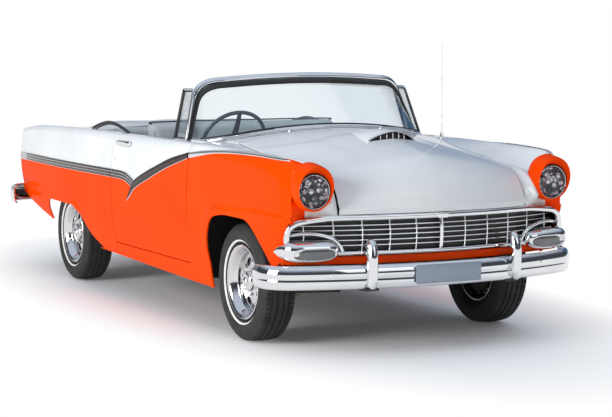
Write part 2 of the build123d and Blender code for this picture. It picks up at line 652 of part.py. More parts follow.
engine = block(-280, 280, -1950, -1300, 470, 900)
engine += block(-150, 150, -1980, -1300, 380 + SEAT, 480)
engine += block(-170, 170, -1300, -1225, 230, 520)
engine += block(-120, 120, -1230, -560, 190, FLOOR_Z - 30)
save("engine", engine)
radiator = block(-310, 310, -2262, -2200, 430 + SEAT, 880)
save("radiator", radiator)

lower_arm = prism_z([(300, FRONT_Y - 160), (KINGPIN_X + 30, FRONT_Y - 26), (KINGPIN_X + 30, FRONT_Y + 26),
                     (300, FRONT_Y + 160)], 260, 290 - SEAT)
lower_arm -= block(360, 560, FRONT_Y - 50, FRONT_Y + 50, 200, 300)
upper_arm = prism_z([(400, FRONT_Y - 110), (KINGPIN_X + 24, FRONT_Y - 24), (KINGPIN_X + 24, FRONT_Y + 24),
                     (400, FRONT_Y + 110)], 450 + SEAT, 476)
upper_arm -= block(470, 580, FRONT_Y - 34, FRONT_Y + 34, 400, 500)
save("front_arms", lower_arm, other_side(lower_arm), upper_arm, other_side(upper_arm))

wheel_x = FRONT_TRACK / 2
knuckle = rod((KINGPIN_X, FRONT_Y, 290), (KINGPIN_X, FRONT_Y, 450), 26)
knuckle += rod((KINGPIN_X, FRONT_Y, AXLE_Z), (wheel_x - 54, FRONT_Y, AXLE_Z), 37)
knuckle += rod((KINGPIN_X, FRONT_Y, AXLE_Z), (wheel_x + 66, FRONT_Y, AXLE_Z), SPINDLE_RADIUS)
knuckle += block(KINGPIN_X - 60, KINGPIN_X - 10, FRONT_Y + 10, FRONT_Y + 130, AXLE_Z - 20, AXLE_Z + 6)
save("knuckle_left", knuckle)
save("knuckle_right", other_side(knuckle))

axle_end = REAR_TRACK / 2
axle = rod((-axle_end + 54, REAR_Y, AXLE_Z), (axle_end - 54, REAR_Y, AXLE_Z), 40)
axle += rod((-axle_end - 66, REAR_Y, AXLE_Z), (axle_end + 66, REAR_Y, AXLE_Z), SPINDLE_RADIUS)
axle += Pos(0, REAR_Y, AXLE_Z) * Sphere(130)
axle += rod((0, REAR_Y - 100, AXLE_Z), (0, -520, 262), 32)
spring_top = AXLE_Z - 30
spring_arc = Wire([
    arc((520, REAR_Y - 640, 330), (520, REAR_Y, spring_top - 40), (520, REAR_Y + 640, 400)),
    line((520, REAR_Y + 640, 400), (520, REAR_Y + 640, 420)),
    arc((520, REAR_Y + 640, 420), (520, REAR_Y, spring_top), (520, REAR_Y - 640, 350)),
    line((520, REAR_Y - 640, 350), (520, REAR_Y - 640, 330)),
])
spring = extrude(Face(spring_arc), 60, dir=(1, 0, 0))
spring += block(RAIL_X + RAIL_WIDTH / 2 + SEAT, 580, REAR_Y - 660, REAR_Y - 620, 300, 370)
spring += block(RAIL_X + RAIL_WIDTH / 2 + SEAT, 580, REAR_Y + 620, REAR_Y + 660, 395, 500)
spring += block(524, 576, REAR_Y - 40, REAR_Y + 40, spring_top - 10, AXLE_Z)
axle += spring
axle += other_side(spring)
save("rear_axle", axle)

pipe_line = FilletPolyline((230, -1150, 170), (230, 680, 170), (320, 1000, 452), (320, 1560, 452),
                           (335, TAIL_Y - 620, 320), (335, TAIL_Y, 330), radius=90)
pipe = sweep(Plane((230, -1150, 170), z_dir=(0, 1, 0)) * Circle(24), pipe_line)
pipe += rod((230, -140, 170), (230, 420, 170), 55)
pipe += rod((230, -300, 170), (230, -300, 200 - SEAT), 8)
save("exhaust", pipe, other_side(pipe))
tank = block(-280, 280, TAIL_Y - 800, TAIL_Y - 190, 390, REAR_FLOOR_Z - SEAT)
save("fuel_tank", fillet(tank.edges().filter_by(Axis.Z), 40))

# Cabin.


def dash_wire(x):
    z = cowl_z(x)
    points = [(COWL_REAR_Y + SEAT, z - 2), (-835, z - 14), (-806, z - 40), (-800, 960), (-850, 905),
              (COWL_REAR_Y + SEAT, 925)]
    return Wire.make_polygon([Vector(x, y, h) for y, h in points], close=True)


dash = Part() + Solid.make_loft([dash_wire(x) for x in (-630, -315, 0, 315, 630)])
save("dashboard", dash)
hub = Vector(-365, -520, 1043)
tilt = Vector(0, cos(radians(30)), sin(radians(30)))
column = rod(hub - tilt * 24, hub - tilt * 1000, 24)
column -= rod(hub, hub - tilt * 120, 10 + RUN)
column -= block(-600, 0, -2000, wheel_wall_y + FLOOR + SEAT, 0, 1200)
column += block(-395, -335, -862, -842, 846, 905 - SEAT)
save("steering_column", column)
wheel_plane = Plane(hub, x_dir=(0, -tilt.Z, tilt.Y), z_dir=tilt)
steering = wheel_plane * Torus(205, 11)
steering += rod(hub - tilt * 20, hub + tilt * 22, 38)
steering += rod(hub, hub - tilt * 100, 10)
for way in (-1, 1):
    steering += rod(hub, hub + Vector(way * 203, 0, 0), 8)
save("steering_wheel", steering)

seat_base = FLOOR_Z + FLOOR + SEAT
bench = prism_x([(-400, seat_base), (90, seat_base), (90, 470), (-400, 470)], -560, 560)
bench += fillet(block(-660, 660, -430, 100, 450, 600).edges().filter_by(Axis.X), 45)
back = prism_x([(40, 520), (190, 540), (240, 1090), (200, 1130), (120, 1110), (70, 800)], -660, 660)
bench += fillet(back.edges().filter_by(Axis.X).group_by(Axis.Z)[-1], 18)
save("front_seat", bench)
rear_base = REAR_FLOOR_Z + FLOOR + SEAT
rear_bench = fillet(block(-590, 590, 545, 890, rear_base + 20, 690).edges().filter_by(Axis.X), 40)
rear_bench += block(-560, 560, 590, 860, rear_base, 600)
rear_bench += prism_x([(840, 640), (960, 620), (1000, 1040), (975, 1078), (915, 1060), (880, 840)], -590, 590)
save("rear_seat", rear_bench)
stack = block(-590, 590, WELL_FRONT_Y + 14, DECK_FRONT_Y - 24, WELL_Z + SEAT, 1084)
save("folded_top", fillet(stack.edges().filter_by(Axis.X).group_by(Axis.Z)[-1], 60))

# Small outside fittings.
mast_x, mast_y = 760, -1135
hits = fender.find_intersection_points(Axis((mast_x, mast_y, 0), (0, 0, 1)))
mast_z = max(point.Z for point, normal in hits)
mast = rod((mast_x, mast_y, mast_z + SEAT), (mast_x, mast_y, mast_z + 30), 11)
mast += rod((mast_x, mast_y, mast_z + 10), (mast_x, mast_y, 1655), 2.5)
save("antenna", mast)
pivot_z = cowl_z(300) + SEAT + 1
arm = rod((300, -1196, pivot_z), (300, -1196, pivot_z + 18), 11)
arm += rod((300, -1196, pivot_z + 12), (610, -1128, cowl_z(610) + 40), 4)
save("wipers", arm, other_side(arm))

# Wheels.
for name, x, y in [("front_left", wheel_x, FRONT_Y), ("front_right", -wheel_x, FRONT_Y),
                   ("rear_left", axle_end, REAR_Y), ("rear_right", -axle_end, REAR_Y)]:
    save(f"tyre_{name}", tyre(x, y))
    save(f"rim_{name}", rim(x, y))
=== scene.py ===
from functools import lru_cache
from math import atan2, cos, hypot, pi, radians, sin

import bmesh
import bpy
from mathutils import Matrix, Vector


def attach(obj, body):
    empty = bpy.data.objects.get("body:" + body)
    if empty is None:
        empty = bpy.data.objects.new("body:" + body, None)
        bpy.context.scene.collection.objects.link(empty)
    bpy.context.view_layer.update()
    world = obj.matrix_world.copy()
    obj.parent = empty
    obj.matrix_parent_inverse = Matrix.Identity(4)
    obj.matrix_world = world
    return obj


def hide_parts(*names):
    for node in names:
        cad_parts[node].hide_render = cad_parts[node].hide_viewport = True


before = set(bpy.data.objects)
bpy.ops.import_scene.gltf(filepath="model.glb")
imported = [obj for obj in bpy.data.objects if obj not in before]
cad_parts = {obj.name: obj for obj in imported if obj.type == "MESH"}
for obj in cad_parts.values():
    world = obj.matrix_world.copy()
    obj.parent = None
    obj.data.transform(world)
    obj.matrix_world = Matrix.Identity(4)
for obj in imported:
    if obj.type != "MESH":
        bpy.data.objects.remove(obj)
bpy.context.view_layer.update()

# Sizes are in mm here, and each mesh is brought to metres as it is finished.
MM = 0.001
EDGE_LIP = 1.6
WELD = 0.02
SIDES = (("left", 1), ("right", -1))
AXLE_Z = 330
FRONT_Y = -1681
REAR_Y = 1253
FRONT_WHEEL_X = 742
REAR_WHEEL_X = 720
NOSE_END = -2521
TAIL_END = 2521
LAMP_X, LAMP_Y, LAMP_Z = 732, -2320, 876


# Shapes.

def smooth(t):
    t = min(max(t, 0.0), 1.0)
    return t * t * (3 - 2 * t)


def curve(points, count):
    """Evenly numbered points on a smooth line through a few points."""
    points = [Vector(p) for p in points]
    spans = len(points) - 1
    line = []
    for k in range(count + 1):
        t = k / count * spans
        i = min(int(t), spans - 1)
        f = t - i
        a, b = points[i], points[i + 1]
        before = points[i - 1] if i else a * 2 - b
        after = points[i + 2] if i + 2 <= spans else b * 2 - a
        m0, m1 = (b - before) / 2, (after - a) / 2
        line.append(a * (2 * f ** 3 - 3 * f ** 2 + 1) + m0 * (f ** 3 - 2 * f ** 2 + f)
                    + b * (3 * f ** 2 - 2 * f ** 3) + m1 * (f ** 3 - f ** 2))
    return line


def rounded(points, radius, steps=7):
    """An open line with its inner corners rounded."""
    points = [Vector(p) for p in points]
    line = [points[0]]
    for a, b, c in zip(points, points[1:], points[2:]):
        reach = min(radius, (a - b).length * 0.48, (c - b).length * 0.48)
        start = b + (a - b).normalized() * reach
        end = b + (c - b).normalized() * reach
        for k in range(steps + 1):
            t = k / steps
            line.append(start * (1 - t) ** 2 + b * 2 * t * (1 - t) + end * t ** 2)
    return line + [points[-1]]


def soften(line, turns):
    """The same (a, b) points with their kinks eased a number of times."""
    for turn in range(turns):
        line = [line[0]] + [((p[0] + q[0] * 2 + r[0]) / 4, (p[1] + q[1] * 2 + r[1]) / 4)
                            for p, q, r in zip(line, line[1:], line[2:])] + [line[-1]]
    return line


def between(rows, at, first=0):
    """Sizes at any place of a table whose first column is the place."""
    i = first
    while i < len(rows) - 2 and at > rows[i + 1][0]:
        i += 1
    a, b = rows[i], rows[i + 1]
    before = rows[i - 1] if i else None
    after = rows[i + 2] if i + 2 < len(rows) else None
    span = b[0] - a[0]
    f = (at - a[0]) / span
    out = []
    for k in range(1, len(a)):
        step = (b[k] - a[k]) / span
        m0 = (step + (a[k] - before[k]) / (a[0] - before[0])) / 2 if before else step
        m1 = (step + (after[k] - b[k]) / (after[0] - b[0])) / 2 if after else step
        out.append(a[k] * (2 * f ** 3 - 3 * f ** 2 + 1) + m0 * span * (f ** 3 - 2 * f ** 2 + f)
                   + b[k] * (3 * f ** 2 - 2 * f ** 3) + m1 * span * (f ** 3 - f ** 2))
    return out


def place_at(line, at):
    """The place where a falling (place, value) line has a value, or its last place."""
    spot = line[-1][0]
    for (ya, za), (yb, zb) in zip(line, line[1:]):
        if zb <= at <= za:
            spot = ya + (yb - ya) * (at - za) / (zb - za)
    return spot


def swell(t, power):
    """A sine or cosine filled out towards a square."""
    return abs(t) ** power * (1 if t > 0 else -1)


def mirrored(half):
    """A line from the middle to the left end, carried on to the right end."""
    return [Vector((-p.x, p.y, p.z)) for p in reversed(half[1:])] + half


def grid(across, along, place):
    """A sheet of quads whose points come from place(u, v), both from 0 to 1."""
    bm = bmesh.new()
    bmesh.ops.create_grid(bm, x_segments=across, y_segments=along, size=0.5)
    for v in bm.verts:
        v.co = place(v.co.x + 0.5, v.co.y + 0.5)
    return bm


def close(bm):
    """Weld the seam of a rolled sheet, fill its ends and face it outward."""
    bmesh.ops.remove_doubles(bm, verts=bm.verts, dist=WELD)
    rims = [e for e in bm.edges if e.is_boundary]
    if rims:
        bmesh.ops.holes_fill(bm, edges=rims, sides=0)
    bmesh.ops.recalc_face_normals(bm, faces=bm.faces)
    return bm


def sweep(path, outline, up):
    """A bar with one closed outline (across, out) carried along a path."""
    path = [Vector(p) for p in path]
    ups = [Vector(u) for u in up] if isinstance(up, list) else [Vector(up)] * len(path)
    last = len(path) - 1
    count = len(outline)

    def place(u, v):
        i, j = round(u * last), round(v * count) % count
        heading = (path[min(i + 1, last)] - path[max(i - 1, 0)]).normalized()
        sideways = heading.cross(ups[i]).normalized()
        out = sideways.cross(heading).normalized()
        return path[i] + sideways * outline[j][0] + out * outline[j][1]
    return close(grid(last, count, place))


def lathe(profile, centre, axis, turns=64):
    """A turned form: profile of (along, radius) about an axis, x or y."""
    last = len(profile) - 1
    centre = Vector(centre)

    def place(u, v):
        along, radius = profile[round(u * last)]
        angle = 2 * pi * v
        a, b = radius * cos(angle), radius * sin(angle)
        return centre + (Vector((along, a, b)) if axis == "x" else Vector((a, along, b)))
    return close(grid(last, turns, place))


def ring_outline(radius, count=14, flat=1.0):
    return [(radius * cos(2 * pi * k / count), radius * flat * sin(2 * pi * k / count))
            for k in range(count)]


def block(low, high, edge=3, segments=2):
    """A box with rounded edges."""
    low, high = Vector(low), Vector(high)
    bm = bmesh.new()
    bmesh.ops.create_cube(bm, size=1)
    for v in bm.verts:
        v.co = Vector((low[k] + (v.co[k] + 0.5) * (high[k] - low[k]) for k in range(3)))
    bmesh.ops.bevel(bm, geom=bm.edges[:], offset=edge, segments=segments, profile=0.5,
                    affect="EDGES", material=-1)
    bmesh.ops.recalc_face_normals(bm, faces=bm.faces)
    return bm


def join(*shapes):
    """Several meshes as one."""
    whole = bmesh.new()
    for bm in shapes:
        mesh = bpy.data.meshes.new("part")
        bm.to_mesh(mesh)
        bm.free()
        whole.from_mesh(mesh)
        bpy.data.meshes.remove(mesh)
    return whole


def on_side(bm, side):
    """The same shape on the other side of the car where side is -1."""
    if side < 0:
        bmesh.ops.scale(bm, vec=(-1, 1, 1), verts=bm.verts)
        bmesh.ops.reverse_faces(bm, faces=bm.faces)
    return bm


def both_sides(make):
    return join(*(on_side(make(), side) for name, side in SIDES))


def piece(name, bm, material, body="body", stands_for=(), sharp=None):
    """Put a finished mesh in the scene, riding on a body."""
    bmesh.ops.scale(bm, vec=(MM, MM, MM), verts=bm.verts)
    mesh = bpy.data.meshes.new(name)
    bm.to_mesh(mesh)
    bm.free()
    obj = bpy.data.objects.new(name, mesh)
    bpy.context.scene.collection.objects.link(obj)
    for m in material if isinstance(material, (list, tuple)) else [material]:
        mesh.materials.append(m)
    mesh.shade_smooth()
    if sharp is not None:
        mesh.set_sharp_from_angle(angle=radians(sharp))
    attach(obj, body)
    if stands_for:
        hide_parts(*stands_for)
    return obj


def soft_edge(obj):
    """Round a piece's sharp edges a little."""
    edge = obj.modifiers.new("edge", "BEVEL")
    edge.width = EDGE_LIP * MM
    edge.segments = 2
    edge.limit_method = "ANGLE"
    edge.angle_limit = radians(50)


def panel(name, bm, material, thickness, body="body", stands_for=()):
    """A painted sheet with an inner side and a softened edge."""
    obj = piece(name, bm, material, body, stands_for)
    wall = obj.modifiers.new("wall", "SOLIDIFY")
    wall.thickness = thickness * MM
    wall.offset = -1
    wall.material_offset = 1
    soft_edge(obj)
    return obj


def inside(outline, y, z):
    odd = False
    for (y0, z0), (y1, z1) in zip(outline, outline[1:] + outline[:1]):
        if (z0 > z) != (z1 > z) and y < (y1 - y0) * (z - z0) / (z1 - z0) + y0:
            odd = not odd
    return odd


def cut_opening(bm, outline):
    """Cut a side sheet along an outline in (y, z) and take out what lies inside."""
    reach = 26
    for (y0, z0), (y1, z1) in zip(outline, outline[1:]):
        start, run = Vector((y0, z0)), Vector((y1 - y0, z1 - z0))
        length = run.length
        if length < 0.01:
            continue
        run.normalize()
        near = []
        for face in bm.faces:
            c = face.calc_center_median()
            off = Vector((c.y, c.z)) - start
            t = off.dot(run)
            if -reach < t < length + reach and (off - run * t).length < reach:
                near.append(face)
        geom = list({e for f in near for e in f.edges}) + list({v for f in near for v in f.verts}) + near
        bmesh.ops.bisect_plane(bm, geom=geom, plane_co=(0, y0, z0), dist=0.001,
                               plane_no=(0, run.y, -run.x))
    gone = [f for f in bm.faces if inside(outline, f.calc_center_median().y, f.calc_center_median().z)]
    bmesh.ops.delete(bm, geom=gone, context="FACES")
    return bm


# Body side.

# Columns: y, then x and z of the sill, side, crest, top and inner edge.
FENDER = [
    (-2320, 805, 560, 862, 860, 838, 986, 752, 1043, 572, 800),
    (-2060, 840, 430, 876, 760, 852, 998, 780, 1053, 586, 962),
    (-1700, 850, 300, 884, 680, 860, 1005, 795, 1060, 640, 1010),
    (-1370, 850, 258, 890, 660, 866, 1010, 812, 1064, 647, 1050),
    (-1240, 850, 260, 892, 654, 868, 1011, 819, 1065, 647, 1064),
    (-1045, 850, 262, 896, 645, 872, 1012, 830, 1066, 647, 1070),
]
DOOR = [
    (-1038, 850, 295, 896, 645, 872, 1012, 830, 1066, 780, 1066),
    (-400, 850, 295, 902, 640, 876, 1012, 838, 1068, 780, 1066),
    (215, 850, 295, 902, 640, 876, 1012, 838, 1068, 780, 1066),
]
QUARTER = [
    (222, 850, 295, 902, 640, 876, 1012, 838, 1068, 772, 1066),
    (560, 850, 296, 900, 640, 874, 1013, 836, 1069, 764, 1066),
    (900, 848, 305, 896, 640, 870, 1014, 832, 1068, 740, 1062),
    (1240, 844, 340, 890, 648, 864, 1012, 824, 1066, 670, 1054),
    (1580, 836, 392, 878, 664, 852, 1006, 812, 1060, 608, 1044),
    (2000, 815, 462, 856, 694, 834, 992, 794, 1048, 608, 1014),
    (2420, 775, 530, 812, 740, 800, 950, 760, 1016, 608, 900),
]
FENDER_FRONT_Y, FENDER_REAR_Y = FENDER[0][0], FENDER[-1][0]
DOOR_FRONT_Y, DOOR_REAR_Y = DOOR[0][0], DOOR[-1][0]
QUARTER_FRONT_Y, TAIL_Y = QUARTER[0][0], QUARTER[-1][0]
DOOR_BOTTOM_Z = 372
DOOR_INNER_X = 770
FRONT_ARCH = [tuple(p) for p in rounded(
    [(FRONT_Y + 353, 200), (FRONT_Y + 347, 570), (FRONT_Y + 285, 672), (FRONT_Y + 120, 700), (FRONT_Y - 190, 697),
     (FRONT_Y - 290, 640), (FRONT_Y - 430, 500), (FRONT_Y - 480, 200)], 110)]
REAR_ARCH = [tuple(p) for p in rounded(
    [(REAR_Y + 352, 250), (REAR_Y + 345, 548), (REAR_Y - 290, 548), (REAR_Y - 560, 370),
     (REAR_Y - 700, 322), (REAR_Y - 950, 250)], 90)]
GRILLE_SIDE = [tuple(p) for p in rounded(
    [(-2440, 738), (-2330, 726), (-2296, 699), (-2270, 650), (-2256, 600), (-2250, 430), (-2440, 430)], 60)]
# Outlines of the swollen lower body over each arch.
FRONT_FLARE = [(-1225, 470), (-1246, 600), (-1296, 684), (-1390, 736), (-1520, 752), (-1850, 753), (-2400, 741),
               (-2400, 300), (-1420, 300)]
REAR_FLARE = [(860, 470), (925, 560), (985, 604), (1464, 606), (2500, 604), (2500, 300), (1250, 300)]
FLARE_PROUD = 11
FLARE_LEDGE = 30


def outline_distance(outline, y, z):
    best = 1e9
    for (y0, z0), (y1, z1) in zip(outline, outline[1:]):
        dy, dz = y1 - y0, z1 - z0
        t = min(max(((y - y0) * dy + (z - z0) * dz) / (dy * dy + dz * dz), 0), 1)
        best = min(best, hypot(y - y0 - t * dy, z - z0 - t * dz))
    return best


def flare(outline, y, z):
    """How far the side stands out over an arch."""
    if not inside(outline, y, z):
        return 0
    return FLARE_PROUD * smooth(outline_distance(outline[:6], y, z) / FLARE_LEDGE) * smooth((z - 380) / 120)


def arc(a, m, b, count):
    """Points on the arc through three points, without the last."""
    (ax, az), (mx, mz), (bx, bz) = a, m, b
    d = 2 * (ax * (mz - bz) + mx * (bz - az) + bx * (az - mz))
    if abs(d) < 1e-6:
        return [(ax + (bx - ax) * k / count, az + (bz - az) * k / count) for k in range(count)]
    sa, sm, sb = ax * ax + az * az, mx * mx + mz * mz, bx * bx + bz * bz
    cx = (sa * (mz - bz) + sm * (bz - az) + sb * (az - mz)) / d
    cz = (sa * (bx - mx) + sm * (ax - bx) + sb * (mx - ax)) / d
    r = hypot(ax - cx, az - cz)
    t0, t1 = atan2(az - cz, ax - cx), atan2(bz - cz, bx - cx)
    tm = atan2(mz - cz, mx - cx)
    turn = (t1 - t0) % (2 * pi)
    if (tm - t0) % (2 * pi) > turn:
        turn -= 2 * pi
    return [(cx + r * cos(t0 + turn * k / count), cz + r * sin(t0 + turn * k / count)) for k in range(count)]


SIDE_STEPS, SHOULDER_STEPS, TOP_STEPS = 44, 16, 12
SECTION_COUNT = SIDE_STEPS + SHOULDER_STEPS + TOP_STEPS
# The fender's front rolls in ahead of this place.
ROLL_Y = -2200


def section(rows, y, flare_outline=None):
    """Points (x, z) of the body side from the sill up and over to its inner edge."""
    sx, sz, mx, mz, cx, cz, tx, tz, ex, ez = between(rows, y)
    bulge = ((cx + tx) / 2 + (tz - cz) * 0.18, (cz + tz) / 2 - (tx - cx) * 0.18)
    line = arc((sx, sz), (mx, mz), (cx, cz), SIDE_STEPS) + arc((cx, cz), bulge, (tx, tz), SHOULDER_STEPS)
    for k in range(TOP_STEPS + 1):
        t = k / TOP_STEPS
        line.append((tx + (ex - tx) * t, tz + (ez - tz) * t - 0.05 * (tz - ez) * sin(pi * t)))
    line = soften(line, 6)
    if flare_outline:
        line = [(x + flare(flare_outline, y, z) if k < SIDE_STEPS else x, z) for k, (x, z) in enumerate(line)]
    roll = max((ROLL_Y - y) / (ROLL_Y - FENDER_FRONT_Y), 0) ** 2
    return [(x - 30 * roll * smooth((x - 700) / 100), z - 12 * roll * smooth((z - 860) / 100)) for x, z in line]


def side_sheet(rows, y0, y1, along, flare_outline=None):
    lines = [section(rows, y0 + (y1 - y0) * i / along, flare_outline) for i in range(along + 1)]

    def place(u, v):
        i = round(u * along)
        x, z = lines[i][round(v * SECTION_COUNT)]
        return Vector((x, y0 + (y1 - y0) * u, z))
    return grid(along, SECTION_COUNT, place)


@lru_cache(maxsize=None)
def side_line(y):
    """Points of the left body side, from the sill up to its highest line."""
    rows, outline = DOOR, None
    if y < (FENDER_REAR_Y + DOOR_FRONT_Y) / 2:
        rows, outline = FENDER, FRONT_FLARE
    elif y > (DOOR_REAR_Y + QUARTER_FRONT_Y) / 2:
        rows, outline = QUARTER, REAR_FLARE
    return section(rows, y, outline)[:SIDE_STEPS + SHOULDER_STEPS + 1]


def side_point(y, z, proud=0):
    """A point on the left body side at a height, and the way it faces."""
    def x_at(yy, zz):
        line = side_line(round(yy))
        for (xa, za), (xb, zb) in zip(line, line[1:]):
            if za <= zz <= zb:
                return xa + (xb - xa) * (zz - za) / max(zb - za, 1e-6)
        return line[-1][0]
    z = min(z, side_line(round(y))[-1][1] - 1)
    x = x_at(y, z)
    slope_z = (x_at(y, z + 4) - x_at(y, z - 4)) / 8
    slope_y = (x_at(y + 4, z) - x_at(y - 4, z)) / 8
    normal = Vector((1, -slope_y, -slope_z)).normalized()
    return Vector((x, y, z)) + normal * proud, normal


# Lines of the side mouldings, as (y, z), which also part the two colours.
BAND_LINE = [(226, 817), (700, 815), (1230, 813.5), (1998, 813.5), (2404, 807)]
BEND_LINE = [(211, 817), (120, 817), (44, 817), (-54, 811), (-124, 795), (-186, 777), (-228, 762)]
LIMB_LINE = [(-97, 664), (-140, 702), (-190, 744), (-240, 775), (-320, 805), (-446, 844), (-600, 890), (-790, 942),
             (-1034, 994)]
LIMB_HALF = [2, 12, 19, 25, 27, 28, 25, 24, 18]
FENDER_LINE = [(-1049, 998), (-1215, 1018), (-1370, 1032), (-1600, 1043), (-1900, 1046), (-2030, 1042), (-2150, 1039),
               (-2240, 1036), (-2316, 1024)]
FENDER_HALF = [18, 15, 10, 9, 9, 8, 8, 7, 5]
FENDER_EDGE = [(-2150, 1033), (-2240, 1028), (-2330, 1010)]
EDGE_X = [(-2343, 745), (-2240, 780), (-2030, 824), (-1900, 824), (-1370, 857), (-1200, 867), (-1050, 874), (-600, 892),
          (-250, 903), (240, 900), (1230, 889), (2000, 857), (2470, 808)]


# Finishes.

class Field:
    """A value in a material's nodes, used like a number."""

    def __init__(self, tree, socket=None):
        self.tree, self.socket = tree, socket

    def make(self, kind, inputs, out=0, **settings):
        node = self.tree.nodes.new("ShaderNode" + kind)
        for name, value in settings.items():
            setattr(node, name, value)
        for key, value in inputs.items():
            if isinstance(value, Field):
                self.tree.links.new(value.socket, node.inputs[key])
            else:
                node.inputs[key].default_value = value
        return Field(self.tree, node.outputs[out])

    def math(self, operation, a, b=0.0):
        return self.make("Math", {0: a, 1: b}, operation=operation)

    def __add__(self, other):
        return self.math("ADD", self, other)

    def __sub__(self, other):
        return self.math("SUBTRACT", self, other)

    def __mul__(self, other):
        return self.math("MULTIPLY", self, other)

    def __gt__(self, other):
        return self.math("GREATER_THAN", self, other)

    def least(self, other):
        return self.math("MINIMUM", self, other)

    def most(self, other):
        return self.math("MAXIMUM", self, other)

    def size(self):
        return self.math("ABSOLUTE", self)

    def wave(self):
        return self.math("SINE", self)

    def ramp(self, low, high):
        return self.make("MapRange", {0: self, 1: low, 2: high})

    def blend(self, a, b):
        return self.make("Mix", {0: self, 6: a, 7: b}, out=2, data_type="RGBA")

    def follow(self, points):
        """A value read off a line through (place, value) points."""
        places, values = zip(*points)
        low, high = min(values), max(values)
        line = self.make("FloatCurve", {"Value": self.ramp(places[0], places[-1])})
        mapping = line.socket.node.mapping
        dots = mapping.curves[0].points
        for k, (place, value) in enumerate(points):
            spot = ((place - places[0]) / (places[-1] - places[0]), (value - low) / (high - low))
            if k in (0, len(points) - 1):
                dots[0 if k == 0 else len(dots) - 1].location = spot
            else:
                dots.new(*spot)
        for dot in dots:
            dot.handle_type = "VECTOR"
        mapping.update()
        return line * (high - low) + low

    def noise(self, scale, detail=3.0, rough=0.5):
        return self.make("TexNoise", {"Vector": self, "Scale": scale, "Detail": detail, "Roughness": rough})

    def cells(self, scale, feature="F1"):
        return self.make("TexVoronoi", {"Vector": self, "Scale": scale}, feature=feature)

    def axes(self):
        parts = self.make("SeparateXYZ", {0: self})
        outs = parts.socket.node.outputs
        return [Field(self.tree, o) for o in outs]

    def bump(self, depth, strength=1.0):
        return self.make("Bump", {"Height": self, "Distance": depth, "Strength": strength})


class Finish:
    """A material with its main shader and the place of each point on the car."""

    def __init__(self, name, roughness=0.4, metallic=0.0, coat=0.0, **constants):
        self.material = bpy.data.materials.new(name)
        self.material.use_nodes = True
        self.tree = self.material.node_tree
        self.shader = self.tree.nodes["Principled BSDF"]
        start = Field(self.tree)
        self.place = start.make("TexCoord", {}, out=3)
        self.set("Roughness", roughness)
        self.set("Metallic", metallic)
        self.set("Coat Weight", coat)
        for key, value in constants.items():
            self.set(key.replace("_", " "), value)

    def set(self, key, value):
        socket = self.shader.inputs[key]
        if isinstance(value, Field):
            self.tree.links.new(value.socket, socket)
        else:
            socket.default_value = value

    def output(self, shader):
        self.tree.links.new(shader.socket, self.tree.nodes["Material Output"].inputs["Surface"])


ORANGE = (0.95, 0.068, 0.001, 1)
ORANGE_DEEP = (0.90, 0.056, 0.001, 1)
WHITE = (0.80, 0.82, 0.83, 1)
WHITE_SHADE = (0.70, 0.73, 0.75, 1)
ORANGE_COAT, WHITE_COAT = 0.12, 0.6


def lacquer(name, colours, coat):
    """Glossy body paint under clear coat, with a faint orange peel and uneven tone."""
    f = Finish(name, coat=coat, Coat_Roughness=0.035, Coat_IOR=1.45, Specular_IOR_Level=0.0)
    tone = f.place.noise(2.2).ramp(0.3, 0.7)
    if colours:
        f.set("Base Color", tone.blend(*colours))
    else:
        white = above_mouldings(f)
        f.set("Base Color", white.blend(tone.blend(ORANGE, ORANGE_DEEP), tone.blend(WHITE, WHITE_SHADE)))
        f.set("Coat Weight", white * (WHITE_COAT - ORANGE_COAT) + ORANGE_COAT)
    f.set("Roughness", f.place.noise(9.0).ramp(0.2, 0.8) * 0.14 + 0.30)
    f.set("Normal", f.place.noise(210.0, 2.0).bump(0.00012, 0.35))
    return f.material


def above_mouldings(f):
    """White above and inboard of the side mouldings, orange below."""
    x, y, z = f.place.axes()
    line = sorted(FENDER_EDGE + FENDER_LINE[:6] + LIMB_LINE[3:] + BEND_LINE[:-1] + BAND_LINE)
    edge_z = y.follow([(a * MM, b * MM) for a, b in line])
    edge_x = y.follow([(a * MM, b * MM) for a, b in EDGE_X])
    return (z - edge_z) > (x.size() - edge_x)


def chrome_finish(name, tint=(0.80, 0.81, 0.83, 1), roughness=0.05):
    f = Finish(name, metallic=1.0)
    f.set("Base Color", f.place.noise(6.0).ramp(0.3, 0.7).blend(tint, tuple(c * 0.9 for c in tint[:3]) + (1,)))
    f.set("Roughness", f.place.noise(34.0, 4.0).ramp(0.45, 0.9) * 0.09 + roughness)
    f.set("Normal", f.place.noise(46.0, 2.0).bump(0.0002, 0.10))
    return f.material


def reflector_finish(name):
    """Bright lamp bowl behind pressed prisms, with painted reflection: its base colour breaks into bright and dark
    cells for what the prisms break up.
    """
    f = Finish(name, metallic=0.6)
    x, y, z = f.place.axes()
    prism_and_glint = f.place.cells(34.0)
    # Painted reflection: bright and dark cells in the base colour.
    f.set("Base Color", prism_and_glint.ramp(0.34, 0.5).blend((0.92, 0.93, 0.95, 1), (0.035, 0.04, 0.05, 1)))
    f.set("Roughness", f.place.noise(80.0) * 0.06 + 0.08)
    f.set("Normal", (prism_and_glint + (x * 420.0).wave() * 0.12).bump(0.012, 0.9))
    return f.material


def grained(name, dark, light, roughness, scale, depth, metallic=0.0, coat=0.0):
    """A plain surface with a fine grain, uneven tone and worn gloss."""
    f = Finish(name, metallic=metallic, coat=coat)
    f.set("Base Color", f.place.noise(5.0, 5.0).ramp(0.3, 0.7).blend(dark, light))
    f.set("Roughness", f.place.noise(22.0, 4.0).ramp(0.2, 0.8) * 0.2 + (roughness - 0.1))
    f.set("Normal", f.place.noise(scale, 5.0, 0.6).bump(depth, 0.6))
    return f.material


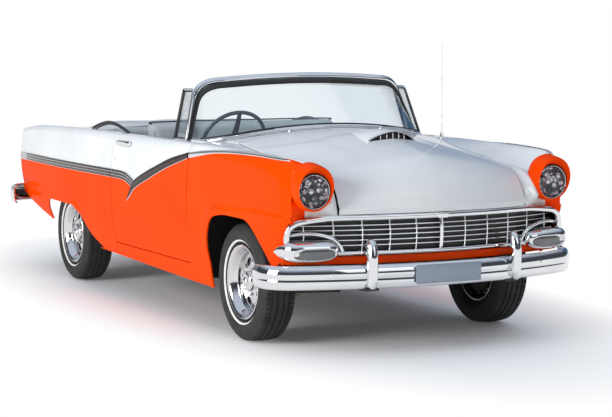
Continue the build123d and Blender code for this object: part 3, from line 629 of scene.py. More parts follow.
def vinyl_finish(name, light, dark):
    """Upholstery hide: small cells, soft sheen and darker creases."""
    f = Finish(name, coat=0.08, Coat_Roughness=0.4)
    cell = f.place.cells(420.0).ramp(0.0, 0.6)
    tone = f.place.noise(7.0, 4.0).ramp(0.3, 0.7)
    f.set("Base Color", tone.blend(light, dark))
    f.set("Roughness", cell * 0.12 + 0.42)
    f.set("Normal", cell.bump(0.0005, 0.5))
    return f.material


def carpet_finish(name):
    f = Finish(name)
    loops = f.place.cells(700.0)
    f.set("Base Color", loops.ramp(0.1, 0.7).blend((0.035, 0.036, 0.040, 1), (0.012, 0.012, 0.014, 1)))
    f.set("Roughness", f.place.noise(30.0) * 0.1 + 0.88)
    f.set("Normal", loops.bump(0.002, 0.8))
    return f.material


def glass_finish(name, tint, wave=0.0, scale=60.0, gloss=0.55):
    """Clear glass: mostly see-through, mirror-like at a glancing view."""
    f = Finish(name)
    start = Field(f.tree)
    ripple = f.place.noise(scale, 1.0).bump(0.0004 + wave, 0.02 + wave * 200)
    clear = start.make("BsdfTransparent", {0: tint})
    mirror = start.make("BsdfGlossy", {"Color": (1, 1, 1, 1), "Roughness": 0.02, "Normal": ripple})
    facing = start.make("LayerWeight", {0: 0.18, 1: ripple}, out=0)
    dust = f.place.noise(4.0, 6.0).ramp(0.5, 1.0) * 0.02
    share = facing.ramp(0.0, 1.0) * gloss + dust + 0.03
    f.output(start.make("MixShader", {0: share, 1: clear, 2: mirror}))
    return f.material


def lens_finish(name, deep, bright, ribs):
    """Moulded lamp lens with upright flutes, its colour running from deep to bright across each flute as painted light
    and shade.
    """
    f = Finish(name, coat=1.0, Coat_Roughness=0.03)
    x, y, z = f.place.axes()
    flute_and_shading = (x * ribs).wave() * 0.5 + 0.5
    # Painted light and shade: the base colour runs from deep to bright across each flute.
    f.set("Base Color", flute_and_shading.blend(deep, bright))
    f.set("Roughness", f.place.noise(60.0) * 0.1 + 0.12)
    f.set("Normal", flute_and_shading.bump(0.003, 0.5))
    return f.material


def tyre_finish(name):
    f = Finish(name)
    tone = f.place.noise(14.0, 6.0).ramp(0.3, 0.75)
    f.set("Base Color", tone.blend((0.012, 0.012, 0.013, 1), (0.030, 0.029, 0.028, 1)))
    f.set("Roughness", f.place.noise(50.0, 3.0) * 0.2 + 0.62)
    f.set("Normal", f.place.noise(380.0, 4.0).bump(0.0006, 0.6))
    return f.material


def band_finish(name):
    """Dark bright-work in the side mouldings, ending in a small check at the tail."""
    f = Finish(name, metallic=0.9)
    x, y, z = f.place.axes()
    tone = f.place.noise(11.0, 4.0).ramp(0.3, 0.7)
    dark = tone.blend((0.020, 0.010, 0.008, 1), (0.042, 0.021, 0.017, 1))
    check = ((y * 87.3).wave() * (z * 169.6 + 0.6).wave()) > 0.0
    f.set("Base Color", (y > 2.190).blend(dark, check.blend((0.012, 0.012, 0.016, 1), (0.80, 0.81, 0.82, 1))))
    f.set("Roughness", f.place.noise(40.0, 3.0) * 0.1 + 0.16)
    f.set("Normal", f.place.noise(90.0).bump(0.0002, 0.2))
    return f.material


def plate_finish(name):
    f = Finish(name, coat=0.3)
    speck = f.place.noise(160.0, 4.0).ramp(0.4, 0.7)
    f.set("Base Color", speck.blend((0.30, 0.35, 0.42, 1), (0.24, 0.28, 0.35, 1)))
    f.set("Roughness", speck * 0.15 + 0.4)
    f.set("Normal", speck.bump(0.0004, 0.3))
    return f.material


TWO_TONE = lacquer("two_tone_paint", None, ORANGE_COAT)
ORANGE_PAINT = lacquer("orange_paint", (ORANGE, ORANGE_DEEP), ORANGE_COAT)
WHITE_PAINT = lacquer("white_paint", (WHITE, WHITE_SHADE), WHITE_COAT)
CHROME = chrome_finish("chrome")
WHEEL_CHROME = chrome_finish("wheel_chrome", (0.72, 0.72, 0.73, 1), 0.07)
REFLECTOR = reflector_finish("lamp_reflector")
UNDERCOAT = grained("undercoat", (0.006, 0.006, 0.006, 1), (0.016, 0.015, 0.014, 1), 0.85, 130.0, 0.0012)
BLACK = grained("satin_black", (0.008, 0.008, 0.009, 1), (0.020, 0.020, 0.021, 1), 0.42, 260.0, 0.0003)
RUBBER = grained("seal_rubber", (0.010, 0.010, 0.010, 1), (0.022, 0.022, 0.022, 1), 0.6, 300.0, 0.0004)
FRAME_PAINT = grained("frame_paint", (0.012, 0.012, 0.012, 1), (0.040, 0.036, 0.032, 1), 0.55, 90.0, 0.0008)
CAST = grained("cast_metal", (0.10, 0.10, 0.10, 1), (0.22, 0.21, 0.20, 1), 0.55, 120.0, 0.0010, metallic=0.8)
PIPE = grained("pipe_steel", (0.16, 0.14, 0.12, 1), (0.34, 0.32, 0.30, 1), 0.45, 70.0, 0.0006, metallic=1.0)
TYRE = tyre_finish("tyre_rubber")
WHITEWALL = grained("whitewall", (0.66, 0.66, 0.64, 1), (0.82, 0.82, 0.80, 1), 0.55, 240.0, 0.0003)
PALE_VINYL = vinyl_finish("pale_vinyl", (0.50, 0.55, 0.56, 1), (0.40, 0.45, 0.47, 1))
DARK_VINYL = vinyl_finish("dark_vinyl", (0.035, 0.045, 0.055, 1), (0.018, 0.024, 0.030, 1))
BOOT_VINYL = vinyl_finish("boot_vinyl", (0.74, 0.75, 0.75, 1), (0.62, 0.63, 0.64, 1))
CARPET = carpet_finish("carpet")
CLEAR = glass_finish("window_glass", (0.93, 0.96, 0.97, 1))
LAMP_GLASS = glass_finish("lamp_glass", (0.96, 0.97, 0.98, 1), 0.002, 90.0, 0.16)
RED_LENS = lens_finish("red_lens", (0.30, 0.004, 0.004, 1), (0.62, 0.012, 0.010, 1), 900.0)
GREY_LENS = lens_finish("grey_lens", (0.07, 0.074, 0.08, 1), (0.15, 0.155, 0.165, 1), 700.0)
BAND = band_finish("side_band")
PLATE = plate_finish("plate_enamel")
GRIP = grained("wheel_grip", (0.018, 0.024, 0.034, 1), (0.040, 0.050, 0.066, 1), 0.30, 200.0, 0.0003, coat=0.5)


# Panels of the body side.

def fender_sheet():
    """Front fender, open beside the grille's end."""
    bm = side_sheet(FENDER, FENDER_FRONT_Y, FENDER_REAR_Y, 116, FRONT_FLARE)
    cut_opening(bm, GRILLE_SIDE)
    cut_opening(bm, FRONT_ARCH)
    low = [f for f in bm.faces if f.calc_center_median().y < FRONT_Y - 540 and f.calc_center_median().z < 500]
    bmesh.ops.delete(bm, geom=low, context="FACES")
    return bm


def quarter_sheet():
    bm = side_sheet(QUARTER, QUARTER_FRONT_Y, TAIL_Y, 190, REAR_FLARE)
    return cut_opening(bm, REAR_ARCH)


DOOR_LIP_Y, DOOR_LIP_ROWS, DOOR_LIP_THICK = -998, 4, 4.5
DOOR_TOP_Z, DOOR_FOOT = 1046, 5


def door_shell():
    """Closed door: outer skin, top and flat inner face, thinned to a lip along its front edge."""
    along, thick = 106, DOOR_LIP_THICK
    rows = [DOOR_FRONT_Y + 13.3 * k for k in range(DOOR_LIP_ROWS)]
    rows += [DOOR_LIP_Y + (DOOR_REAR_Y - DOOR_LIP_Y) * k / along for k in range(along + 1)]
    last = len(rows) - 1
    levels = [DOOR_TOP_Z - (DOOR_TOP_Z - DOOR_BOTTOM_Z - DOOR_FOOT) * k / 10 for k in range(11)]
    lines = []
    for i, y in enumerate(rows):
        skin = [p for p in section(DOOR, y) if p[1] >= DOOR_BOTTOM_Z]
        outer = [(skin[0][0], DOOR_BOTTOM_Z)] + skin[1:-1]
        if i < DOOR_LIP_ROWS:
            def inside_x(z):
                (xa, za), (xb, zb) = next((p, q) for p, q in zip(outer, outer[1:]) if q[1] >= z)
                return xa + (xb - xa) * (z - za) / max(zb - za, 0.01) - thick
            inner = [(outer[-1][0], outer[-1][1] - thick), (824, 1060)] + [(inside_x(z), z) for z in levels]
            inner.append((outer[0][0] - thick, DOOR_BOTTOM_Z))
        else:
            inner = [(786, 1064), (776, 1058)] + [(DOOR_INNER_X, z) for z in levels]
            inner.append((DOOR_INNER_X + DOOR_FOOT, DOOR_BOTTOM_Z))
        lines.append(outer + inner)
    count = min(len(line) for line in lines)
    lines = [line[:1] + line[len(line) - count + 1:] for line in lines]

    def place(u, v):
        i = round(u * last)
        x, z = lines[i][round(v * count) % count]
        return Vector((x, rows[i], z))
    bm = close(grid(last, count, place))
    for f in bm.faces:
        f.material_index = 1 if f.calc_center_median().x < DOOR_INNER_X + 0.5 else 0
    return bm


for name, side in SIDES:
    panel(f"fender_skin_{name}", on_side(fender_sheet(), side), (TWO_TONE, UNDERCOAT), 10,
          stands_for=(f"fender_{name}",))
    panel(f"quarter_skin_{name}", on_side(quarter_sheet(), side), (TWO_TONE, UNDERCOAT), 10,
          stands_for=(f"quarter_{name}",))
    soft_edge(piece(f"door_skin_{name}", on_side(door_shell(), side), (TWO_TONE, PALE_VINYL), f"door_{name}",
                    (f"door_{name}",), sharp=50))


# Hood and trunk lid.

# Columns: x, hinge z, then y and z of the middle, turn and nose, and the lip's y.
HOOD = [
    (0, 1134, -1780, 1104, -2250, 1032, -2408, 930, -2452),
    (300, 1120.6, -1750, 1080, -2225, 1010, -2385, 915, -2430),
    (520, 1093.7, -1720, 1040, -2180, 975, -2330, 888, -2382),
    (700, 1061, -1690, 995, -2120, 925, -2262, 845, -2305),
]
TRUNK = [
    (0, 1056, 1950, 1034, 2290, 985, 2400, 900, 2440),
    (320, 1052.6, 1945, 1028, 2285, 975, 2392, 892, 2430),
    (640, 1042.4, 1940, 1012, 2270, 950, 2372, 875, 2408),
]
HOOD_REAR_Y, HOOD_LIP_Z = -1235, 750
LID_FRONT_Y, LID_LIP_Z, LID_HALF = 1500, 640, 600
PROFILE_STEPS = 72


def lid_profile(rows, x, hinge_y, lip_z):
    """Lengthwise line of a lid at a distance from the centre line."""
    both = [(-rows[1][0],) + rows[1][1:]] + rows
    hinge_z, mid_y, mid_z, turn_y, turn_z, nose_y, nose_z, lip_y = between(both, x, 1)
    first = PROFILE_STEPS * 2 // 3
    line = arc((hinge_y, hinge_z), (mid_y, mid_z), (turn_y, turn_z), first)
    line += arc((turn_y, turn_z), (nose_y, nose_z), (lip_y, lip_z), PROFILE_STEPS - first)
    line.append((lip_y, lip_z))
    return soften(line, 10)


def hood_half(y):
    return 640 - 67 * min(max((-1700 - y) / 500, 0), 1)


LINE_STEP = 5
HOOD_LINES = [lid_profile(HOOD, x, HOOD_REAR_Y, HOOD_LIP_Z) for x in range(0, 661, LINE_STEP)]


def hood_crease(x, y):
    """How far the middle of the hood rises to its lengthwise ridge."""
    return 18 * max(0, 1 - abs(x) / 290) ** 1.15 * smooth((y + 2430) / 170) * smooth((HOOD_REAR_Y - y) / 240)


def hood_point(u, v):
    """Hood surface: u from the right edge to the left, v from hinge to lip."""
    i = round(v * PROFILE_STEPS)
    share = abs(2 * u - 1)
    x = share * 600
    for turn in range(4):
        k = min(int(x / LINE_STEP), len(HOOD_LINES) - 2)
        t = x / LINE_STEP - k
        a, b = HOOD_LINES[k][i], HOOD_LINES[k + 1][i]
        y, z = a[0] + (b[0] - a[0]) * t, a[1] + (b[1] - a[1]) * t
        x = share * hood_half(y)
    z += hood_crease(x, y)
    y += 12 * smooth((774 - z) / 14) - 9 * smooth((806 - z) / 26)
    return Vector((x if u > 0.5 else -x, y, z))


def hood_height(x, y):
    line = HOOD_LINES[round(abs(x) / LINE_STEP)]
    for (ya, za), (yb, zb) in zip(line, line[1:]):
        if yb <= y <= ya:
            return za + (zb - za) * (y - ya) / (yb - ya) + hood_crease(x, y)
    return line[0][1]


def trunk_point(u, v):
    i = round(v * PROFILE_STEPS)
    x = abs(2 * u - 1) * LID_HALF
    y, z = TRUNK_LINES[round(x)][i]
    return Vector((x if u > 0.5 else -x, y, z))


LID_ACROSS = 100
TRUNK_LINES = {round(abs(2 * k / LID_ACROSS - 1) * LID_HALF):
               lid_profile(TRUNK, abs(2 * k / LID_ACROSS - 1) * LID_HALF, LID_FRONT_Y, LID_LIP_Z)
               for k in range(LID_ACROSS + 1)}


def facing_out(bm, towards):
    """Turn an open sheet's faces towards a direction."""
    total = Vector((0, 0, 0))
    bm.normal_update()
    for f in bm.faces:
        total += f.normal * f.calc_area()
    if total.dot(Vector(towards)) < 0:
        bmesh.ops.reverse_faces(bm, faces=bm.faces)
    return bm


panel("hood_skin", facing_out(grid(LID_ACROSS, PROFILE_STEPS, hood_point), (0, -1, 1)),
      (WHITE_PAINT, UNDERCOAT), 8, "hood", ("hood",))
panel("trunk_skin", facing_out(grid(LID_ACROSS, PROFILE_STEPS, trunk_point), (0, 1, 1)),
      (WHITE_PAINT, UNDERCOAT), 8, "trunk_lid", ("trunk_lid",))

SCOOP_MOUTH_Y, SCOOP_TAIL_Y, SCOOP_HALF, SCOOP_RISE = -1900, -1430, 150, 46


def scoop_point(u, v):
    across = 2 * u - 1
    y = SCOOP_MOUTH_Y + (SCOOP_TAIL_Y - SCOOP_MOUTH_Y) * v
    half = SCOOP_HALF * (1 - 0.55 * smooth(v))
    rise = SCOOP_RISE * (1 - smooth(v * 1.02))
    x = across * half
    arch = max(0, 1 - across * across) ** 0.75
    y += 26 * across * across * (1 - v)
    return Vector((x, y, hood_height(x, y) + rise * arch + 0.6))


def scoop_line(v, count=40):
    return [scoop_point(k / count, v) for k in range(count + 1)]


panel("hood_scoop", facing_out(grid(60, 60, scoop_point), (0, 0, 1)), (WHITE_PAINT, UNDERCOAT), 3, "hood")
mouth = scoop_line(0.0)
floor_line = [Vector((p.x, p.y - 2, hood_height(p.x, p.y) + 2)) for p in mouth]
piece("scoop_rim", join(sweep(mouth, ring_outline(4.5, 10), (0, -1, 0.3)),
                        sweep(floor_line, ring_outline(3.5, 10), (0, -1, 0.3))), CHROME, "hood")
mouth_back = [Vector((p.x * 0.97, p.y + 26, p.z - 5)) for p in mouth]


# Painted shade: a black sheet set just inside the scoop's mouth stands in for its dark inside.
def scoop_shade_point(u, v):
    top = mouth_back[round(u * 40)]
    low = hood_height(top.x, top.y) - 2
    return Vector((top.x, top.y, low + (top.z - low) * v))


# The black sheet in the scoop's mouth is painted shade.
piece("scoop_shade_sheet", facing_out(grid(40, 4, scoop_shade_point), (0, -1, 0)), BLACK, "hood")
bars = []
for x in (-75, -38, 0, 38, 75):
    y = SCOOP_MOUTH_Y + 26 * (x / SCOOP_HALF) ** 2 + 5
    base = hood_height(x, y)
    top = base + SCOOP_RISE * (1 - (x / SCOOP_HALF) ** 2)
    bars.append(block((x - 2.5, y - 3, base - 3), (x + 2.5, y + 4, top - 2), 1))
piece("scoop_bars", join(*bars), CHROME, "hood")


# Nose.

GRILLE_TOP, GRILLE_BOTTOM, GRILLE_HALF = 742, 527, 862


def grille_y(x):
    return -2452 + 200 * (x / GRILLE_HALF) ** 2


def bar_path(half, z_of, setback=0, count=64):
    xs = [half * (2 * k / count - 1) for k in range(count + 1)]
    return [Vector((x, grille_y(x) + setback, z_of(x))) for x in xs]


ROUND_BAR = [(-13, -9), (-9, -13), (9, -13), (13, -9), (13, 6), (9, 11), (0, 13), (-9, 11), (-13, 6)]
surround = [Vector((x, grille_y(x) + 14 - 42 * smooth((x - 560) / 220), z)) for x, z in
            [(843, 606), (842, 645), (830, 682), (800, 706), (757, 719), (660, 729), (580, 732), (300, 733), (0, 733)]]
surround = curve(surround, 60)
surround += [Vector((-p.x, p.y, p.z)) for p in reversed(surround[:-1])]
slim = [(-3.4, -6), (3.4, -6), (3.4, 3), (1.6, 5), (-1.6, 5), (-3.4, 3)]
bars = [sweep(surround, [(a * 1.25, b * 1.1) for a, b in ROUND_BAR], (0, -1, 0.15)),
        sweep(bar_path(640, lambda x: 546, 10), [(a * 0.8, b * 0.9) for a, b in ROUND_BAR], (0, -1, -0.1))]
for height in (586, 613, 640, 666, 691):
    bars.append(sweep(bar_path(GRILLE_HALF - 24, lambda x: height, 22), slim, (0, -1, 0)))
for k in range(-5, 6):
    x = 150 * k
    wide = 2.8 if k == 0 else 1.0
    upright = curve([(x, grille_y(x) + 24, 540), (x * 0.995, grille_y(x) + 14, 635), (x, grille_y(x) + 22, 728)], 16)
    bars.append(sweep(upright, [(a * wide, b) for a, b in slim], (0, -1, 0)))
bars.append(block((-34, grille_y(0) - 6, 716), (34, grille_y(0) + 16, 747), 6, 3))
piece("grille_bars", join(*bars), CHROME, stands_for=("grille",), sharp=50)


# Painted shade: a black sheet behind the grille bars stands in for the shadow in front of the radiator.
def grille_shade_point(u, v):
    x = (GRILLE_HALF - 12) * (2 * u - 1)
    return Vector((x, grille_y(x) + 46, GRILLE_BOTTOM + 4 + (GRILLE_TOP - GRILLE_BOTTOM - 8) * v))


# The black sheet behind the bars is painted shade.
panel("grille_shade_sheet", facing_out(grid(60, 10, grille_shade_point), (0, -1, 0)), (BLACK, BLACK), 4)

# Parking lamp pods: x, front and back y, and how far they reach up and down from POD_Z.
POD = [(574, -2354, -2335, 3, 3), (582, -2374, -2325, 26, 22), (600, -2391, -2312, 42, 38), (640, -2399, -2300, 52, 50),
       (700, -2396, -2290, 56, 55), (760, -2387, -2280, 56, 55), (820, -2371, -2268, 53, 52),
        (850, -2352, -2260, 46, 44),
       (872, -2320, -2250, 35, 32), (886, -2278, -2240, 21, 18), (894, -2240, -2232, 3, 3)]
POD_Z = 561
LENS_X, LENS_Z, LENS_WIDE, LENS_TALL = 722, 549, 116, 31
POD_STATIONS = 96
POD_LINE = [curve([row[:3] for row in POD], POD_STATIONS), curve([(row[3], row[4], 0) for row in POD], POD_STATIONS)]


def lens_share(x, z):
    return abs((x - LENS_X) / LENS_WIDE) ** 2.6 + abs((z - LENS_Z) / LENS_TALL) ** 2.6


def pod():
    """A bright bullet with a flat oval sunk into its front."""
    def place(u, v):
        i = round(u * POD_STATIONS)
        (x, front, back), reach = POD_LINE[0][i], POD_LINE[1][i]
        c, r = cos(2 * pi * v), sin(2 * pi * v)
        z = POD_Z + (reach.x if r > 0 else reach.y) * swell(r, 0.8)
        y = (front + back) / 2 - (back - front) / 2 * swell(c, 0.8)
        if c > 0:
            y += 15 * smooth((1.0 - lens_share(x, z)) / 0.16)
        return Vector((x, y, z))
    return close(grid(POD_STATIONS, 96, place))


def pod_lens():
    """Fluted lens lying in the pod's oval."""
    def place(u, v):
        angle, share = 2 * pi * v, 0.985 * u
        x = LENS_X + LENS_WIDE * share * swell(cos(angle), 0.77)
        z = LENS_Z + LENS_TALL * share * swell(sin(angle), 0.77)
        front = -2400 + 0.115 * (x - 640) + 0.0009 * (x - 690) ** 2
        return Vector((x, front + 9 - 3 * (1 - u * u) + 0.09 * abs(z - POD_Z), z))
    bm = grid(14, 72, place)
    bmesh.ops.remove_doubles(bm, verts=bm.verts, dist=WELD)
    return facing_out(bm, (0, -1, 0))


piece("parking_pods", both_sides(pod), CHROME, stands_for=("parking_lamps",))
piece("parking_lenses", both_sides(pod_lens), GREY_LENS)


def pod_hood():
    spots = [(548, 548, 8), (566, 586, 2), (604, 622, -8), (670, 645, -16), (740, 653, -20), (800, 648, -18),
             (846, 638, -10)]
    return sweep(curve([(x, grille_y(x) + back + 10, z) for x, z, back in spots], 40),
                 [(a * 0.75, b * 0.8) for a, b in ROUND_BAR], (0.2, -1, 0.2))


piece("pod_hoods", both_sides(pod_hood), CHROME, sharp=50)


RING_LEAN = 0.27


def lamp_ring(profile, turns=96, lean=0.0):
    """A ring about the lamp from (depth, half width, half height, lift), which may lean back at its foot."""
    last = len(profile) - 1
    reach = max(-row[0] for row in profile)

    def place(u, v):
        depth, wide, tall, lift = profile[round(u * last)]
        angle = 2 * pi * v
        z = tall * sin(angle)
        y = LAMP_Y + depth + lean * max(-depth / reach, 0) * max(125 - z, 0) * 0.75
        return Vector((LAMP_X + wide * cos(angle), y, LAMP_Z + lift + z))
    return close(grid(last, turns, place))


def lamp_form(profile):
    return lamp_ring([(d, r, r, 0) for d, r in profile])


HOODED_RING = [(30, 94, 112, 26), (30, 97, 116, 26), (0, 103, 126, 25), (-10, 105, 129, 24.5), (-40, 106, 127, 23),
               (-70, 105.5, 124.5, 21), (-98, 104.5, 121.5, 19), (-112, 103.5, 119.5, 17.5), (-120, 101.5, 116, 17),
               (-122, 99.5, 112.5, 17), (-118, 98, 109, 16.5), (-102, 97, 104.5, 12), (-82, 96, 101, 6),
               (-62, 95.5, 98, 1), (-40, 95, 97, 0), (30, 93, 95, 0), (30, 94, 112, 26)]
GASKET = [(-38, 99), (-64, 99), (-69, 96), (-68, 90), (-60, 89), (-38, 89), (-38, 99)]
LENS_RIM = [(-50, 90), (-68, 90), (-71, 88.5), (-68, 86.5), (-50, 86.5), (-50, 90)]
BULB_GLASS = [(-56, 0), (-56, 87), (-60, 87), (-67, 80), (-75, 56), (-80, 28), (-81, 0)]
BOWL = [(-2, 0), (-4, 18), (-10, 40), (-22, 62), (-40, 80), (-50, 88), (-52, 89), (-38, 84), (-18, 66), (-2, 44),
        (4, 20), (6, 0)]
BULB = [(-3, 0), (-3, 17), (-30, 17), (-38, 12), (-40, 0)]
piece("headlamp_shells", both_sides(lambda: lamp_ring(HOODED_RING, lean=RING_LEAN)), ORANGE_PAINT,
      stands_for=("headlamp_bezels",))
for name, profile, material, node in (("gaskets", GASKET, RUBBER, ()), ("rims", LENS_RIM, CHROME, ()),
                                      ("glass", BULB_GLASS, LAMP_GLASS, ("headlamp_lenses",)),
                                      ("bowls", BOWL, REFLECTOR, ()), ("bulbs", BULB, CHROME, ())):
    piece(f"headlamp_{name}", both_sides(lambda: lamp_form(profile)), material, stands_for=node)


def nose_panel(x0, x1, top):
    """Front face of the fender between the hood, the lamp and the grille."""
    def place(u, v):
        x = x0 + (x1 - x0) * u
        line = lid_profile(HOOD, min(x, 699), HOOD_REAR_Y, HOOD_LIP_Z)
        low = 738 - 34 * smooth((x - 735) / 95)
        z = low + (top - low) * v
        y = place_at(line, z)
        reach = 82 * smooth((x - 581) / 50) * smooth((z - 745) / 70) * (1 - 0.7 * smooth((x - 640) / 60))
        return Vector((x, y + 4 - reach - 14 * smooth((x - 740) / 80), z))
    return facing_out(grid(30, 40, place), (0, -1, 0.3))


for name, side in SIDES:
    panel(f"nose_panel_{name}", on_side(nose_panel(581, 745, 960), side), (WHITE_PAINT, UNDERCOAT), 6)
    panel(f"nose_neck_{name}", on_side(nose_panel(745, 834, 850), side), (ORANGE_PAINT, UNDERCOAT), 6)


# Bumpers and plates.

BUMPER_OUTLINE = [(-64, -2), (-62, 6), (-52, 13), (-34, 18), (-14, 20), (-9, 17), (-4, 18), (4, 23.5), (22, 22.5),
                  (42, 17), (56, 9), (63, 1), (64, -6), (58, -8), (50, 4), (30, 12), (0, 15),
                   (-30, 11), (-50, 4), (-58, -8)]


def bumper_path(mid_y, z, knee_x, bow, corner, tip):
    angle = atan2(knee_x, (bow * bow - knee_x * knee_x) ** 0.5)
    knee = Vector((knee_x, mid_y + bow * (1 - cos(angle)), z))
    centre = knee + Vector((-sin(angle), cos(angle), 0)) * corner
    half = [Vector((bow * sin(angle * k / 30), mid_y + bow * (1 - cos(angle * k / 30)), z)) for k in range(30)]
    half += [centre + Vector((sin(t), -cos(t), 0)) * corner
             for t in (angle + (pi / 2 - angle) * k / 18 for k in range(19))]
    half.append(half[-1] + Vector((0, tip, 0)))
    return mirrored(half)


def bumper_bar(mid_y, z, knee_x, bow, corner, tip):
    path = bumper_path(mid_y, z, knee_x, bow, corner, tip)
    last = len(path) - 1
    count = len(BUMPER_OUTLINE)

    def place(u, v):
        i = round(u * last)
        a, o = BUMPER_OUTLINE[round(v * count) % count]
        heading = (path[min(i + 1, last)] - path[max(i - 1, 0)]).normalized()
        out = Vector((heading.y, -heading.x, 0))
        return path[i] + out * o + Vector((0, 0, a))
    return close(grid(last, count, place))


def tapered(path, widths, depths, up, turns=20):
    """A rounded bar whose width and depth change along its path."""
    path = [Vector(p) for p in path]
    last = len(path) - 1
    up = Vector(up)

    def place(u, v):
        i = round(u * last)
        heading = (path[min(i + 1, last)] - path[max(i - 1, 0)]).normalized()
        sideways = heading.cross(up).normalized()
        out = sideways.cross(heading)
        t = u * (len(widths) - 1)
        k = min(int(t), len(widths) - 2)
        w = widths[k] + (widths[k + 1] - widths[k]) * (t - k)
        d = depths[k] + (depths[k + 1] - depths[k]) * (t - k)
        angle = 2 * pi * v
        return path[i] + sideways * (w * cos(angle)) + out * (d * sin(angle))
    return close(grid(last, turns, place))


def bumper_guard(x, face_y, low, high):
    middle = (low + high) / 2
    path = curve([(x, face_y + 60, low), (x, face_y + 50, low + 30), (x, face_y + 46, middle),
                  (x, face_y + 50, high - 80), (x * 0.995, face_y + 62, high - 30), (x * 0.99, face_y + 84, high)], 48)
    return tapered(path, (2, 24, 29, 31, 32, 32, 31, 29, 24, 4), (2, 34, 42, 44, 45, 45, 43, 38, 28, 4),
                   (0, -1, 0), 28)


def bolt(x, y, z, way=-1, radius=9):
    profile = [(0, 0.01), (0, radius), (way * 3, radius), (way * 6, radius * 0.7), (way * 7, 0.01)]
    return lathe(profile, (x, y, z), "y", 20)


def front_bumper():
    parts = [bumper_bar(NOSE_END + 28, 426, 830, 2200, 180, 45)]
    for x in (-440, 440):
        parts.append(bumper_guard(x, NOSE_END + 1, 366, 622))
    for x in (-640, 640):
        parts.append(bolt(x, NOSE_END + 102, 440))
    return join(*parts)


def rear_bumper():
    parts = [bumper_bar(28 - TAIL_END, 528, 760, 6000, 180, 60)]
    for x in (-420, 420):
        parts.append(bumper_guard(x, 1 - TAIL_END, 468, 690))
    whole = join(*parts)
    bmesh.ops.rotate(whole, verts=whole.verts, cent=(0, 0, 0), matrix=Matrix.Rotation(pi, 3, "Z"))
    return whole


piece("front_bumper_chrome", front_bumper(), CHROME, stands_for=("front_bumper",), sharp=60)
piece("rear_bumper_chrome", rear_bumper(), CHROME, stands_for=("rear_bumper",), sharp=60)


def number_plate(y, z, way):
    low, high = sorted((y, y + way * 3))
    half, tall = 188, 44
    corners = [(a * half, 0, z + b * tall) for a, b in ((-1, -1), (-1, 1), (1, 1), (1, -1), (-1, -1))]
    edge = [Vector((p.x, y + way * 0.4, p.z)) for p in rounded(corners, 12)]
    screw = [(0, 0.01), (0, 6), (-way * 1.4, 6), (-way * 2.4, 3), (-way * 2.5, 0.01)]
    screws = [lathe(screw, (x, y + way * 0.4, z + 30), "y", 16) for x in (-120, 120)]
    return join(block((-199, low, z - 51), (199, high, z + 51), 1.2),
                sweep(edge, ring_outline(2, 8), (0, -way, 0)), *screws)


piece("number_plates_blank", join(number_plate(NOSE_END + 2.6, 430, 1), number_plate(TAIL_END - 2.6, 534, -1)),
      PLATE, stands_for=("number_plates",), sharp=40)


# Side mouldings.

TRIM_OUTLINE = [(-1, 0), (-1, 0.35), (-0.78, 0.8), (-0.3, 1), (0.3, 1), (0.78, 0.8), (1, 0.35), (1, 0)]


def moulding(spots, half, proud, count=70):
    """A strip on the body side through (y, z) spots, of one half width or one at each spot."""
    halves = half if isinstance(half, list) else [half] * len(spots)
    line = curve([(y, z, h) for (y, z), h in zip(spots, halves)], count)
    turns = len(TRIM_OUTLINE)

    def place(u, v):
        i = round(u * count)
        heading = (line[min(i + 1, count)] - line[max(i - 1, 0)]).xy.normalized()
        a, b = TRIM_OUTLINE[round(v * turns) % turns]
        reach = a * line[i].z
        point, normal = side_point(line[i].x + heading.y * reach, line[i].y - heading.x * reach)
        return point + normal * (b * proud if b else -2)
    return close(grid(count, turns, place))


def beside(spots, offsets):
    """The same line moved sideways, upward where it runs forward."""
    offsets = offsets if isinstance(offsets, list) else [offsets] * len(spots)
    out = []
    for k, (y, z) in enumerate(spots):
        before, after = Vector(spots[max(k - 1, 0)]), Vector(spots[min(k + 1, len(spots) - 1)])
        heading = (after - before).normalized()
        out.append((y + heading.y * offsets[k], z - heading.x * offsets[k]))
    return out


def fine_lines(spots, offsets, count):
    return join(*(moulding(beside(spots, off), 2.6, 8, count) for off in offsets))


band = moulding(BAND_LINE, 28, 5, 110)
band_lines = fine_lines(BAND_LINE, (-26, -9, 9, 26), 110)
bend = moulding(BEND_LINE, 28, 5, 44)
bend_lines = fine_lines(BEND_LINE, (-26, -9, 9, 26), 44)
limb = moulding(LIMB_LINE, LIMB_HALF, 9, 100)
# The limb's second edge line is bright trim given the dark band finish: painted shade for the dark reflection that edge
# shows.
limb_edge, limb_edge_painted_shade = (moulding(beside(LIMB_LINE, [way * max(h - 2, 0.5) for h in LIMB_HALF]), 3.2, 10, 100)
                        for way in (-1, 1))
strip = moulding(FENDER_LINE, FENDER_HALF, 9, 110)
for name, side in SIDES:
    door = f"door_{name}"
    piece(f"quarter_band_{name}", on_side(band.copy(), side), BAND, sharp=50)
    piece(f"quarter_lines_{name}", on_side(band_lines.copy(), side), CHROME, sharp=50)
    piece(f"fender_strip_{name}", on_side(strip.copy(), side), CHROME, sharp=50)
    # The limb's second edge line goes in the dark band finish as painted shade.
    piece(f"door_band_{name}", on_side(join(bend.copy(), limb.copy(), limb_edge_painted_shade.copy()), side), BAND, door, sharp=50)
    piece(f"door_lines_{name}", on_side(join(bend_lines.copy(), limb_edge.copy()), side), CHROME, door, sharp=50)


# Doors: pull handle, lock, vent window and inner panel.

HANDLE_Z = 1014


